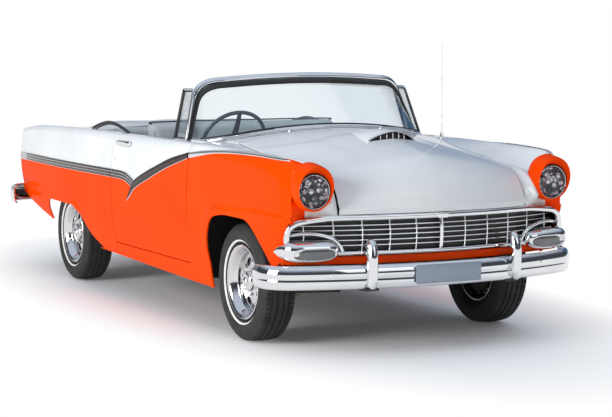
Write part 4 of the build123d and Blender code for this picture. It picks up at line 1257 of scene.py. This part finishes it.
def door_handle():
    base = side_point(20, HANDLE_Z)[0].x
    grip = curve([(base + 4, -112, HANDLE_Z), (base + 14, -96, HANDLE_Z), (base + 20, -40, HANDLE_Z + 1),
                  (base + 20, 70, HANDLE_Z + 1), (base + 14, 132, HANDLE_Z), (base + 4, 150, HANDLE_Z)], 40)
    bar = tapered(grip, (2, 12, 16, 18, 18, 17, 15, 11, 2), (2, 6, 7, 7, 7, 7, 7, 6, 2), (1, 0, 0))
    feet = [tapered([(side_point(y, HANDLE_Z)[0].x - 1, y, HANDLE_Z), (base + 8, y, HANDLE_Z),
                     (base + 17, y, HANDLE_Z)],
                    (18, 14, 10), (18, 14, 9), (0, 1, 0), 16) for y in (-88, 126)]
    lock = side_point(158, 906)[0]
    barrel = lathe([(-2, 0.01), (-2, 11), (3, 11), (5, 8), (5.4, 0.01)], lock, "x", 24)
    return join(bar, barrel, *feet)


VENT_SILL_Z, VENT_LEAN = 1068.4, 0.26


def vent_spot(y, z, out=0.0):
    return Vector((795 + out - VENT_LEAN * (z - VENT_SILL_Z), y, z))


VENT_CORNERS = [(-622, 1071), (-592, 1365), (-733, 1367), (-800, 1071), (-622, 1071)]
VENT_GLASS = [(-632, 1080), (-603, 1354), (-727, 1356), (-786, 1080)]


def vent_frame():
    """Bright top, front and foot of the vent window."""
    loop = rounded([vent_spot(y, z) for y, z in VENT_CORNERS[1:]], 16, 4)
    flat = [(-6.5, -5), (-6.5, 4), (-4.5, 6), (4.5, 6), (6.5, 4), (6.5, -5)]
    return sweep(loop, flat, (1, 0, VENT_LEAN))


def vent_seal():
    """Dark channel around the glass and the black bar at its rear."""
    corners = [vent_spot(y, z) for y, z in VENT_GLASS + VENT_GLASS[:1]]
    bar = [vent_spot(y, z) for y, z in VENT_CORNERS[:2]]
    return join(sweep(rounded(corners, 12, 4), ring_outline(4.5, 10), (1, 0, VENT_LEAN)),
                sweep(curve(bar, 12), ring_outline(9.5, 12), (1, 0, VENT_LEAN)))


def vent_glass():
    (rear_low, z), (rear_high, high), (front_high, _), (front_low, _) = VENT_GLASS

    def place(u, v):
        front = front_low + (front_high - front_low) * v
        rear = rear_low + (rear_high - rear_low) * v
        return vent_spot(front + (rear - front) * u, z + (high - z) * v)
    return facing_out(grid(6, 8, place), (1, 0, 0))


def door_lining():
    """Sewn inner panel with upright channels."""
    def place(u, v):
        y, z = -690 + 870 * u, 402 + 626 * v
        edge = smooth(min(u, 1 - u) * 30) * smooth(min(v, 1 - v) * 24)
        roll = abs(sin(pi * (y + 690) / 72.5)) ** 0.5 if 560 < z < 900 else 0.7
        return Vector((DOOR_INNER_X - 0.4 - 5 * edge * (0.5 + 0.5 * roll), y, z))
    return facing_out(grid(120, 60, place), (-1, 0, 0))


for name, side in SIDES:
    body = f"door_{name}"
    piece(f"door_handle_{name}", on_side(door_handle(), side), CHROME, body, (f"door_fittings_{name}",))
    piece(f"vent_frame_{name}", on_side(vent_frame(), side), CHROME, body, sharp=50)
    piece(f"vent_seal_{name}", on_side(vent_seal(), side), RUBBER, body)
    panel(f"vent_glass_{name}", on_side(vent_glass(), side), (CLEAR, CLEAR), 4, body)
    lining = panel(f"door_lining_{name}", on_side(door_lining(), side), (PALE_VINYL, PALE_VINYL), 0.3, body)
    strip = sweep([(DOOR_INNER_X - 6, y, 905) for y in (-680, -250, 170)],
                  [(a * 8, b * 4) for a, b in TRIM_OUTLINE], (-1, 0, 0))
    crank = lathe([(0, 0.01), (0, 14), (-8, 12), (-14, 8), (-14, 0.01)], (DOOR_INNER_X - 4, -330, 700), "x", 20)
    arm = tapered([(DOOR_INNER_X - 14, -330, 700), (DOOR_INNER_X - 16, -290, 650), (DOOR_INNER_X - 18, -262, 612)],
                  (5, 5, 6), (4, 4, 5), (1, 0, 0), 12)
    piece(f"door_bright_{name}", on_side(join(strip, crank, arm), side), CHROME, body)


# Windshield.

# Height, half width, y of the end, x and y of the knee, y of the middle, at two heights.
SCREEN_LOW = (1030, 779, -750, 525, -1170, -1277)
SCREEN_HIGH = (1480, 663, -647, 478, -697, -737)


def screen_plan(z, count=24):
    """Plan line of the windshield at a height, from the middle to its left end."""
    t = (z - SCREEN_LOW[0]) / (SCREEN_HIGH[0] - SCREEN_LOW[0])
    half, end_y, knee_x, knee_y, mid_y = [a + (b - a) * t for a, b in zip(SCREEN_LOW[1:], SCREEN_HIGH[1:])]
    sag = knee_y - mid_y
    radius = (knee_x ** 2 + sag ** 2) / (2 * sag)
    turn = atan2(knee_x, radius - sag)
    line = [Vector((radius * sin(turn * k / count), mid_y + radius * (1 - cos(turn * k / count)), z))
            for k in range(count)]
    start, end = Vector((knee_x, knee_y)), Vector((half, end_y))
    normal = Vector((-sin(turn), cos(turn)))
    reach = end - start
    bend = reach.length_squared / (2 * normal.dot(reach))
    centre = start + normal * bend
    t0 = atan2(start.y - centre.y, start.x - centre.x)
    t1 = atan2(end.y - centre.y, end.x - centre.x)
    for k in range(count + 1):
        t = t0 + (t1 - t0) * k / count
        line.append(Vector((centre.x + bend * cos(t), centre.y + bend * sin(t), z)))
    return line


def screen_point(x, z):
    """A point on the windshield's face and the way it faces."""
    def at(xx, zz):
        line = screen_plan(zz)
        for a, b in zip(line, line[1:]):
            if a.x <= abs(xx) <= b.x:
                return a + (b - a) * ((abs(xx) - a.x) / (b.x - a.x)), b - a
        return line[-1], line[-1] - line[-2]
    here, heading = at(x, z)
    above = screen_plan(z + 10)[-1] if abs(x) >= here.x + 1 else at(x, z + 10)[0]
    normal = heading.cross(above - here).normalized()
    if normal.y > 0.3 or normal.x < 0:
        normal = -normal
    if x < 0:
        here, normal = Vector((-here.x, here.y, here.z)), Vector((-normal.x, normal.y, normal.z))
    return here, normal


def screen_at(spot, z):
    """A point on the windshield at a numbered place of its plan line, and the way it faces."""
    line, upper = screen_plan(z), screen_plan(z + 10)
    k = min(int(spot), len(line) - 2)
    here, above = (row[k].lerp(row[k + 1], spot - k) for row in (line, upper))
    normal = (line[k + 1] - line[k]).cross(above - here).normalized()
    return here, -normal if normal.y > 0.3 or normal.x < 0 else normal


def screen_end(back, z):
    """The place on the plan line a distance from the windshield's left end."""
    line = screen_plan(z)
    return len(line) - 1 - back / (line[-1] - line[-2]).length


def screen_bar(drop, back, outline):
    """Header, rounded corners and posts of the windshield, at one distance inside its edge."""
    def header_z(spot):
        return 1453 - drop - 30 * (screen_at(spot, 1440)[0].x / 610) ** 2

    corner, foot_z = screen_end(back, 1405), 1310 - drop * 0.5
    start = corner - 13
    half = [(start * k / 16, header_z(start * k / 16)) for k in range(16)]
    ends = [Vector((start, header_z(start))), Vector((corner, header_z(corner))),
            Vector((screen_end(back, foot_z), foot_z))]
    for k in range(12):
        t = k / 12
        half.append(ends[0] * (1 - t) ** 2 + ends[1] * 2 * t * (1 - t) + ends[2] * t ** 2)
    half += [(screen_end(back, z), z) for z in (foot_z - (foot_z - 1076) * k / 10 for k in range(11))]
    half = [screen_at(spot, z) for spot, z in half]
    return sweep(mirrored([p for p, n in half]), outline, mirrored([n for p, n in half]))


def sill_z(x):
    """Height of the windshield's foot on the cowl."""
    return 1134 - 61 * (x / 640) ** 2


def screen_sill(lift, outline):
    spots = [screen_point(x, sill_z(x) + lift) for x in range(-740, 741, 20)]
    return sweep([p for p, n in spots], outline, [n for p, n in spots])


header = [(-19, -12), (19, -12), (21, -4), (19, 6), (9, 11), (-6, 11), (-16, 7), (-19, 2)]
flat_seal = [(-17, -8), (17, -8), (17, 3), (13, 6), (-13, 6), (-17, 3)]
foot = [(a * 0.62, b * 0.8) for a, b in header]
piece("windshield_chrome", join(screen_bar(6, 12, header), screen_sill(17, foot)), CHROME,
      stands_for=("windshield_frame",), sharp=60)
piece("windshield_seal", join(screen_bar(38, 44, flat_seal), screen_sill(31, ring_outline(4, 10))), RUBBER, sharp=60)


def wiper():
    pivot = Vector((300, -1196, 1122))
    tip = screen_point(596, 1092)[0] + Vector((0, -14, 12))
    hub = tapered([pivot + Vector(p) for p in ((0, 0, -4), (0, 2, 10), (0, 4, 22))], (13, 11, 8), (13, 11, 8),
                  (0, 1, 0))
    reach = curve([pivot + Vector((0, 4, 18)), pivot.lerp(tip, 0.5) + Vector((0, -4, 16)), tip], 20)
    return join(hub, tapered(reach, (5, 4, 3), (4, 3, 3), (0, 0, 1), 12))


def wiper_blade():
    spots = [screen_point(x, sill_z(x) + 22) for x in range(360, 641, 20)]
    return sweep([p + n * 9 for p, n in spots], [(-2, -7), (2, -7), (1.4, 3), (-1.4, 3)], [n for p, n in spots])


piece("wiper_arms", both_sides(wiper), CHROME, stands_for=("wipers",))
piece("wiper_blades", both_sides(wiper_blade), RUBBER)


# Tail lamps and the ends of the quarters around them.

TAIL_LAMP = (706, TAIL_Y, 800)
TAIL_LINE_Z = 807
CAP_INNER_X = 606
TAIL_RIM = [(0.5, 60), (0.5, 84), (10, 84), (17, 79), (16, 71), (8, 66), (4, 60), (0.5, 60)]
TAIL_LENS = [(1, 0.01), (1, 68), (12, 68), (24, 56), (33, 30), (36, 0.01)]


def tail_cap():
    """Slightly domed end of a quarter, in the two colours of its side."""
    middle = Vector((TAIL_LAMP[0], 0, 780))
    edge = section(QUARTER, TAIL_Y, REAR_FLARE) + [(CAP_INNER_X, 720), (CAP_INNER_X, 534)]
    edge = [Vector((x, 0, z)) for x, z in edge]
    edge = [p + (middle - p).normalized() * 3 for p in edge]
    count = len(edge)

    def place(u, v):
        return middle.lerp(edge[round(v * count) % count], u) + Vector((0, TAIL_Y - 1 - 9 * u ** 6, 0))
    bm = grid(10, count, place)
    bmesh.ops.remove_doubles(bm, verts=bm.verts, dist=WELD)
    bmesh.ops.bisect_plane(bm, geom=bm.verts[:] + bm.edges[:] + bm.faces[:], plane_co=(0, 0, TAIL_LINE_Z),
                           plane_no=(0, 0, 1), dist=0.01)
    for f in bm.faces:
        f.material_index = 0 if f.calc_center_median().z > TAIL_LINE_Z else 1
    return facing_out(bm, (0, 1, 0))


def tail_ring(profile):
    return lathe(profile, TAIL_LAMP, "y", 56)


for name, side in SIDES:
    piece(f"tail_cap_{name}", on_side(tail_cap(), side), (WHITE_PAINT, ORANGE_PAINT))
piece("tail_lamp_rims", both_sides(lambda: tail_ring(TAIL_RIM)), CHROME, stands_for=("tail_lamps",))
piece("tail_lamp_lenses", both_sides(lambda: tail_ring(TAIL_LENS)), RED_LENS)


# Cabin.

def cushion(low, high, crown, channels, depth, edge=38, cuts=46, face="z", lean=0.0):
    """A stuffed seat form: rounded edges, a crown and sewn channels on one face."""
    low, high = Vector(low), Vector(high)
    middle, half = (low + high) / 2, (high - low) / 2
    bm = bmesh.new()
    bmesh.ops.create_cube(bm, size=2)
    bmesh.ops.subdivide_edges(bm, edges=bm.edges[:], cuts=cuts, use_grid_fill=True)
    up, over, sign = (2, 1, 1) if face == "z" else (1, 2, -1)
    for v in bm.verts:
        a = Vector(v.co)
        core = Vector((max(min(a[k] * half[k], half[k] - edge), edge - half[k]) for k in range(3)))
        off = Vector((a[k] * half[k] for k in range(3))) - core
        p = core + (off.normalized() * edge if off.length > 1e-6 else off)
        pull = (1 - a.x ** 8) * (1 - a[over] ** 8)
        if a[up] * sign > 0:
            share = min(a[up] * sign, 1.0)
            p[up] += sign * crown * pull * share
            if channels:
                groove = abs(sin(pi * channels * (a.x + 1) / 2)) ** 0.45
                inner = smooth((0.86 - abs(a[over])) * 12)
                p[up] -= sign * depth * (1 - groove) * inner * share ** 4
        p.x *= 1 - 0.012 * (1 - a[over] ** 2)
        v.co = middle + p
        v.co.y += lean * (v.co.z - low.z)
    bmesh.ops.recalc_face_normals(bm, faces=bm.faces)
    return bm


def piping(points, radius=5):
    return sweep(curve(points, 60), ring_outline(radius, 8), (0, -0.3, 1))


def soft(name, bm, material, stands_for=()):
    piece(name, bm, material, stands_for=stands_for)


soft("front_bench_seat", cushion((-655, -425, 372), (655, 92, 588), 18, 17, 9), PALE_VINYL, ("front_seat",))
soft("front_bench_back", cushion((-655, 56, 566), (655, 178, 1128), 14, 17, 9, face="y", lean=0.08), PALE_VINYL)
soft("rear_bench_seat", cushion((-585, 549, 560), (585, 886, 682), 16, 15, 9), PALE_VINYL, ("rear_seat",))
soft("rear_bench_back", cushion((-585, 872, 640), (585, 985, 1070), 12, 15, 9, face="y", lean=0.05), PALE_VINYL)
welts = join(piping([(-640, 168, 1122), (-600, 158, 1136), (0, 158, 1138), (600, 158, 1136), (640, 168, 1122)]),
             piping([(-640, -412, 560), (-600, -428, 566), (0, -430, 568), (600, -428, 566), (640, -412, 560)]),
             piping([(-570, 938, 1064), (0, 934, 1078), (570, 938, 1064)]))
piece("seat_piping", welts, DARK_VINYL)


def boot_point(u, v):
    """Cover over the folded top: a crowned roll with a few long wrinkles."""
    around = 2 * pi * v
    x = -618 + 1236 * u
    end = smooth(min(u, 1 - u) * 9)
    c, s = cos(around), sin(around)
    y = 1212 + 190 * swell(c, 0.6)
    rise = 44 * swell(s, 0.55)
    ripple = 4 * sin(x / 61 + 1.3 * sin(x / 140)) * sin(x / 233) + 3 * sin(y / 47 + x / 310)
    z = 1052 + rise * (0.55 + 0.45 * end) + (ripple if s > 0 else 0) * end - 10 * (x / 618) ** 2
    return Vector((x, y, z))


soft("top_cover", close(grid(150, 72, boot_point)), BOOT_VINYL, ("folded_top",))
TOP_BOW = [(1030, 1050), (985, 1072), (874, 1096), (711, 1117), (560, 1110), (400, 1083), (300, 1058), (262, 1046)]


def top_bow():
    """Side rail of the folded top, arched over the rear of the cabin."""
    path = curve([(735, y, z) for y, z in TOP_BOW], 60)
    strip = [p + Vector((-10, 0, -13)) for p in path]
    return join(tapered(path, (7, 9, 10, 10, 10, 9, 7), (7, 9, 10, 10, 10, 9, 7), (1, 0, 0), 16),
                tapered(strip, (3, 4, 4, 4, 3), (6, 7, 8, 7, 6), (1, 0, 0), 12))


piece("top_side_rails", both_sides(top_bow), BLACK)
HUB = Vector((-365, -520, 1043))
WHEEL_AXIS = Vector((0, cos(radians(30)), sin(radians(30))))
WHEEL_UP = Vector((0, -sin(radians(30)), cos(radians(30))))


def rim_spot(angle, radius, lift=0.0):
    return HUB + Vector((cos(angle) * radius, 0, 0)) + WHEEL_UP * (sin(angle) * radius) + WHEEL_AXIS * lift


def steering_rim():
    def place(u, v):
        angle, around = 2 * pi * u, 2 * pi * v
        thick = 12.5 - 1.0 * (abs(sin(angle * 24)) ** 6) * (1 if sin(around + 0.8) < 0.2 else 0)
        return rim_spot(angle, 204 + thick * cos(around), thick * sin(around))
    return close(grid(192, 16, place))


def spoke(angle, share=1.0):
    path = [rim_spot(angle, r, lift) for r, lift in ((30, 4), (90, -2), (150, -4), (198, 0))]
    return tapered(curve(path, 24), [w * share for w in (15, 13, 11, 9)], (6, 5, 5, 5), WHEEL_AXIS, 14)


def hub_form(profile):
    last = len(profile) - 1

    def place(u, v):
        lift, radius = profile[round(u * last)]
        return rim_spot(2 * pi * v, radius, lift)
    return close(grid(last, 40, place))


def horn_ring():
    path = [rim_spot(pi + pi * k / 40, 128, 4) for k in range(41)]
    return sweep(path, ring_outline(4, 8), [WHEEL_AXIS] * 41)


HUB_PROFILE = [(-18, 0.01), (-18, 36), (8, 38), (18, 33), (24, 16), (25, 0.01)]
piece("steering_wheel_rim", join(steering_rim(), spoke(radians(90), 1.5), spoke(radians(200)), spoke(radians(340))),
      GRIP, "steering_wheel", ("steering_wheel",))
piece("steering_wheel_boss", join(hub_form(HUB_PROFILE), horn_ring()), CHROME, "steering_wheel")
piece("gauge_panel", block((-520, -806, 958), (-210, -790, 1040), 12, 4), BLACK)
dials = [lathe([(0, 0.01), (0, r), (6, r), (9, r - 5), (4, r - 8), (3, 0.01)], (x, -790, 1000), "y", 36)
         for x, r in ((-440, 34), (-365, 38), (-290, 34))]
piece("gauge_rims", join(*dials), CHROME)
strip = [Vector((x, -797.5, 968)) for x in range(-160, 621, 60)]
piece("dash_strip", sweep(strip, [(a * 14, b * 5) for a, b in TRIM_OUTLINE], (0, 1, 0.05)), CHROME)


# Wheels.

TYRE_HALF, TYRE_RADIUS = 102.5, 330
RING_INNER, RING_OUTER = 224, 237
TYRE_TURNS = 288
TREAD_HALF = 76
GROOVES = (-50, -17, 17, 50)


def tyre_profile():
    wall = [(67.7, 197)] + arc((67.7, 211), (TYRE_HALF, 257), (TREAD_HALF, 323), 22)
    steps = [TREAD_HALF - 2 * TREAD_HALF * k / 38 for k in range(39)]
    tread = [(a, TYRE_RADIUS - 7 * (a / TREAD_HALF) ** 2) for a in steps]
    return wall + tread + [(-x, r) for x, r in reversed(wall)]


def tyre(x, y, way):
    """Tyre with ribs, cross cuts in its shoulders and a narrow white ring."""
    profile = tyre_profile()
    last = len(profile) - 1

    def place(u, v):
        a, r = profile[round(u * last)]
        k = round(v * TYRE_TURNS)
        if r > 322:
            if any(abs(a - g) < 3.2 for g in GROOVES):
                r -= 8
            elif abs(a) > 54 and k % 4 == 0:
                r -= 6
            elif abs(a) < 46 and (k + round(a / 8)) % 4 == 0:
                r -= 2.5
        angle = 2 * pi * k / TYRE_TURNS
        return Vector((x + way * a, y + r * cos(angle), AXLE_Z + r * sin(angle)))
    bm = grid(last, TYRE_TURNS, place)
    bmesh.ops.remove_doubles(bm, verts=bm.verts, dist=WELD)
    for f in bm.faces:
        c = f.calc_center_median()
        r = hypot(c.y - y, c.z - AXLE_Z)
        if RING_INNER < r < RING_OUTER and (c.x - x) * way > 0:
            f.material_index = 1
    bmesh.ops.recalc_face_normals(bm, faces=bm.faces)
    return bm


RIM_BARREL = [(-70, 190), (-70, 195.6), (70, 195.6), (78, 206), (84, 208), (87, 205), (86, 200), (80, 192), (76, 186),
              (68, 183), (64, 178), (40, 174), (36, 169), (12, 166), (4, 160), (2, 150), (-6, 150), (-8, 164),
              (-60, 178), (-70, 190)]
CENTRE_CAP = [(20, 0.01), (36, 62), (52, 60), (62, 54), (66, 44), (67, 30), (74, 26), (79, 16), (80, 0.01)]
DRUM = [(-55, 60), (-55, 138), (-20, 140), (-14, 132), (-14, 60)]
SPOKES = 5
PITCH = 2 * pi / SPOKES
WINDOW_RADIUS = 112
DISC = [(4, 154), (10, 148), (24, 138), (30, 112), (34, 84), (38, 66), (42, 58)]


def disc_height(r):
    for (d0, r0), (d1, r1) in zip(DISC, DISC[1:]):
        if r1 <= r <= r0:
            return d0 + (d1 - d0) * smooth((r0 - r) / (r0 - r1))
    return DISC[-1][0]


def window_share(r, angle):
    off = (angle + PITCH / 2) % PITCH - PITCH / 2
    up = r - WINDOW_RADIUS
    return (up / 24) ** 2 + (off * r / (26 + up * 0.35)) ** 2


def wheel_disc(x, y, way):
    """Dished centre with five windows between its spokes."""
    outer, inner = DISC[0][1], DISC[-1][1]
    bm = grid(44, 200, lambda u, v: Vector((outer - (outer - inner) * u, 2 * pi * v, 0)))
    gone = [f for f in bm.faces if window_share(f.calc_center_median().x, f.calc_center_median().y) < 1]
    bmesh.ops.delete(bm, geom=gone, context="FACES")
    for v in bm.verts:
        r, angle = v.co.x, v.co.y
        share = window_share(r, angle)
        if v.is_boundary and 0.2 < share < 2.2:
            middle = round(angle / PITCH) * PITCH
            pull = share ** -0.5
            r = WINDOW_RADIUS + (r - WINDOW_RADIUS) * pull
            angle = middle + (angle - middle) * pull
        rib = 5 * smooth((share - 1) / 2.5) * smooth((148 - r) / 20) * smooth((r - 70) / 20)
        v.co = Vector((x + way * (disc_height(r) + rib), y + r * cos(angle), AXLE_Z + r * sin(angle)))
    bmesh.ops.remove_doubles(bm, verts=bm.verts, dist=0.05)
    return facing_out(bm, (way, 0, 0))


def turned(profile, x, y, way, turns=72):
    return lathe([(way * a, r) for a, r in profile], (x, y, AXLE_Z), "x", turns)


def wheel_bright(x, y, way):
    parts = [turned(RIM_BARREL, x, y, way, 96), turned(CENTRE_CAP, x, y, way)]
    for k in range(SPOKES):
        angle = 2 * pi * (k + 0.5) / SPOKES
        spot = Vector((x + way * 36, y + 74 * cos(angle), AXLE_Z + 74 * sin(angle)))
        parts.append(lathe([(0, 0.01), (0, 10), (way * 12, 10), (way * 17, 7), (way * 18, 0.01)], spot, "x", 6))
    return join(*parts)


for where, wheel_x, wheel_y in (("front", FRONT_WHEEL_X, FRONT_Y), ("rear", REAR_WHEEL_X, REAR_Y)):
    for name, side in SIDES:
        wheel = f"{where}_{name}"
        body = f"wheel_{wheel}"
        x = side * wheel_x
        piece(f"tread_{wheel}", tyre(x, wheel_y, side), (TYRE, WHITEWALL), body, (f"tyre_{wheel}",), sharp=38)
        piece(f"wheel_bright_{wheel}", wheel_bright(x, wheel_y, side), WHEEL_CHROME, body, (f"rim_{wheel}",), sharp=44)
        panel(f"wheel_disc_{wheel}", wheel_disc(x, wheel_y, side), (WHEEL_CHROME, WHEEL_CHROME), 5, body)
        piece(f"brake_drum_{wheel}", turned(DRUM, x, wheel_y, side), FRAME_PAINT, body, sharp=40)


# Inner fenders and aprons behind the tyres, lips of the sills, and sides of the cabin's and trunk's floors.

def inner_wall():
    def place(u, v):
        x, y = 515 + 40 * smooth(v * 1.4 - 0.6), -2180 + 880 * u
        return Vector((x, y, 602 + (min(992, hood_height(555, y) - 34) - 602) * v))
    return facing_out(grid(30, 16, place), (1, 0, 0))


def splash_apron(corners, way):
    """Flat pressed shield between four corners, with a shallow rib across it."""
    a, b, c, d = (Vector(p) for p in corners)

    def place(u, v):
        return a.lerp(b, u).lerp(d.lerp(c, u), v) + Vector(way) * 5 * smooth(1 - abs(v - 0.5) * 6)
    return facing_out(grid(16, 24, place), way)


def sill_skirt():
    """Lip under the rocker, deeper towards the front, turned in along its foot."""
    def place(u, v):
        deep = 2 + 32 * (1 - u)
        x, z = ((849.5 - 2 * v / 0.7, 299 - (4 + deep) * v / 0.7) if v <= 0.7 else
                (847.5 - 70 * (v - 0.7), 295 - deep - 12 * sin(pi * (v - 0.7) / 0.6) * 0.25))
        return Vector((x, -1043 + 1603 * u, z))
    return facing_out(grid(60, 20, place), (1, 0, 0))


def trunk_shelf():
    """Floor of the trunk out to the quarter's skin."""
    def place(u, v):
        y = 1565 + 818 * u
        edge = side_point(y, 560)[0].x - 6
        return Vector((756 + (edge - 756) * v, y, 553))
    return facing_out(grid(30, 4, place), (0, 0, 1))


KICK_PLAN = [(704, -1200), (704, -1120), (704, -1062), (707, -1044), (718, -1033), (740, -1028), (764, -1025)]


def kick_panel():
    """Side of the foot space, from the toe board round to the door."""
    last = len(KICK_PLAN) - 1

    def place(u, v):
        x, y = KICK_PLAN[round(u * last)]
        return Vector((x, y, 344 + 660 * v))
    return facing_out(grid(last, 12, place), (-1, 0, 0))


# Shields between four corners, the way they face and their finish.
SHIELDS = {
    "rear_step": ([(594, 562, 352), (766, 562, 352), (766, 562, 538), (594, 562, 538)], (0, -1, 0), CARPET),
    "rear_shelf": ([(594, 560, 537), (766, 560, 537), (824, 914, 537), (594, 914, 537)], (0, 0, 1), CARPET),
    "rear_lining": ([(760, 846, 538), (760, 944, 538), (760, 944, 1040), (760, 846, 1040)], (-1, 0, 0), PALE_VINYL),
    "front_apron": ([(530, -2182, 470), (517, -2030, 470), (517, -2030, 608), (530, -2182, 608)], (1, 0, 0), UNDERCOAT),
    "rear_apron": ([(505, -1266, 304), (846, -1266, 304), (850, -1266, 690), (520, -1266, 690)], (0, -1, 0), UNDERCOAT),
}
for name, side in SIDES:
    panel(f"inner_fender_{name}", on_side(inner_wall(), side), (UNDERCOAT, UNDERCOAT), 3)
    panel(f"sill_skirt_{name}", on_side(sill_skirt(), side), (ORANGE_PAINT, UNDERCOAT), 2)
    panel(f"trunk_shelf_{name}", on_side(trunk_shelf(), side), (CARPET, UNDERCOAT), 3)
    panel(f"kick_panel_{name}", on_side(kick_panel(), side), (CARPET, UNDERCOAT), 3)
    for shield, (corners, way, finish) in SHIELDS.items():
        panel(f"{shield}_{name}", on_side(splash_apron(corners, way), side), (finish, UNDERCOAT), 3)


# Finishes of the nodes that show as they were built.

NODE_FINISH = [
    (FRAME_PAINT, "chassis_frame radiator rear_axle front_arms"), (CARPET, "floor_pan rear_floor"),
    (ORANGE_PAINT, "rockers tail_panel front_valance"), (WHITE_PAINT, "cowl rear_deck dashboard"),
    (PALE_VINYL, "side_trim"), (CLEAR, "windshield_glass"), (BLACK, "steering_column"),
    (CAST, "engine knuckle_left knuckle_right"), (PIPE, "exhaust fuel_tank"), (CHROME, "antenna"),
]
for material, nodes in NODE_FINISH:
    for node in nodes.split():
        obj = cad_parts[node]
        obj.data.materials.clear()
        obj.data.materials.append(material)


# Camera, fitted to the photograph.

CAMERA_PLACE = Vector((-4.9004, -10.8300, 1.6679))
CAMERA_AZIMUTH, CAMERA_RISE, CAMERA_ROLL = radians(-26.016), radians(5.312), radians(-0.161)
CAMERA_LENS = 107.48


def add_camera():
    back = Vector((sin(CAMERA_AZIMUTH) * cos(CAMERA_RISE), -cos(CAMERA_AZIMUTH) * cos(CAMERA_RISE), sin(CAMERA_RISE)))
    right = (-back).cross(Vector((0, 0, 1))).normalized()
    up = right.cross(-back)
    c, s = cos(CAMERA_ROLL), sin(CAMERA_ROLL)
    right, up = right * c + up * s, up * c - right * s
    data = bpy.data.cameras.new("camera")
    data.sensor_width = 36
    data.lens = CAMERA_LENS
    camera = bpy.data.objects.new("camera", data)
    camera.matrix_world = Matrix((right, up, back)).transposed().to_4x4()
    camera.location = CAMERA_PLACE
    bpy.context.scene.collection.objects.link(camera)
    bpy.context.scene.camera = camera


def add_softbox(name, place, aim, size, power, colour=(1, 1, 1)):
    data = bpy.data.lights.new(name, "AREA")
    data.shape = "RECTANGLE"
    data.size, data.size_y = size
    data.energy = power
    data.color = colour
    lamp = bpy.data.objects.new(name, data)
    lamp.location = place
    lamp.rotation_euler = (Vector(aim) - Vector(place)).to_track_quat("-Z", "Y").to_euler()
    bpy.context.scene.collection.objects.link(lamp)


def add_stage():
    """Pale floor that fades into a white backdrop, open sky above and a darker room ahead of the car."""
    bm = bmesh.new()
    bmesh.ops.create_grid(bm, x_segments=8, y_segments=8, size=150)
    mesh = bpy.data.meshes.new("floor")
    bm.to_mesh(mesh)
    bm.free()
    floor = bpy.data.objects.new("floor", mesh)
    bpy.context.scene.collection.objects.link(floor)
    f = Finish("floor_paper", roughness=0.9)
    f.set("Base Color", f.place.noise(1.5).ramp(0.3, 0.7).blend((0.90, 0.90, 0.90, 1), (0.88, 0.88, 0.88, 1)))
    start = Field(f.tree)
    x, y, z = f.place.axes()
    sunny = x.least(0.0)
    far = (x * x * 0.25 + sunny * sunny * 0.17 + y * y * 0.0515).ramp(0.30, 0.85)
    paper = Field(f.tree, f.shader.outputs[0])
    rays = start.make("LightPath", {}).socket.node.outputs
    seen = [Field(f.tree, rays[k]) for k in ("Is Camera Ray", "Is Glossy Ray", "Is Transmission Ray")]
    lift = start.make("Emission", {0: (1, 1, 1, 1), 1: seen[0].most(seen[1]).most(seen[2]) * 0.05})
    paper = start.make("AddShader", {0: paper, 1: lift})
    f.output(start.make("MixShader", {0: far, 1: paper, 2: start.make("Emission", {0: (1, 1, 1, 1), 1: 1.0})}))
    floor.data.materials.append(f.material)
    world = bpy.data.worlds.new("sky")
    bpy.context.scene.world = world
    world.use_nodes = True
    start = Field(world.node_tree)
    x, y, z = start.make("TexCoord", {}, out=0).axes()
    behind = (x * 0.4386 + y * 0.8987).ramp(0.55, 0.85)
    split = (x * 0.8987 - y * 0.4386).ramp(-0.05, 0.05).blend((0.55, 0.57, 0.60, 1), (0.05, 0.14, 0.30, 1))
    room = behind.blend((0.06, 0.065, 0.08, 1), split)
    sky = z.ramp(0.40, 0.72).blend(room, (0.62, 0.70, 0.82, 1))
    back = world.node_tree.nodes["Background"]
    world.node_tree.links.new(z.ramp(0.05, 0.12).blend((1, 1, 1, 1), sky).socket, back.inputs["Color"])
    back.inputs["Strength"].default_value = 1.0
    add_softbox("key", (-9.3, -3.0, 3.6), (0, -0.4, 0.6), (5, 4), 690, (1.0, 0.98, 0.95))
    add_softbox("front", (1.5, -9.5, 4.5), (0, -1.5, 0.5), (5, 3), 50, (0.97, 0.98, 1.0))


add_camera()
add_stage()
bpy.context.scene.view_settings.view_transform = "Standard"
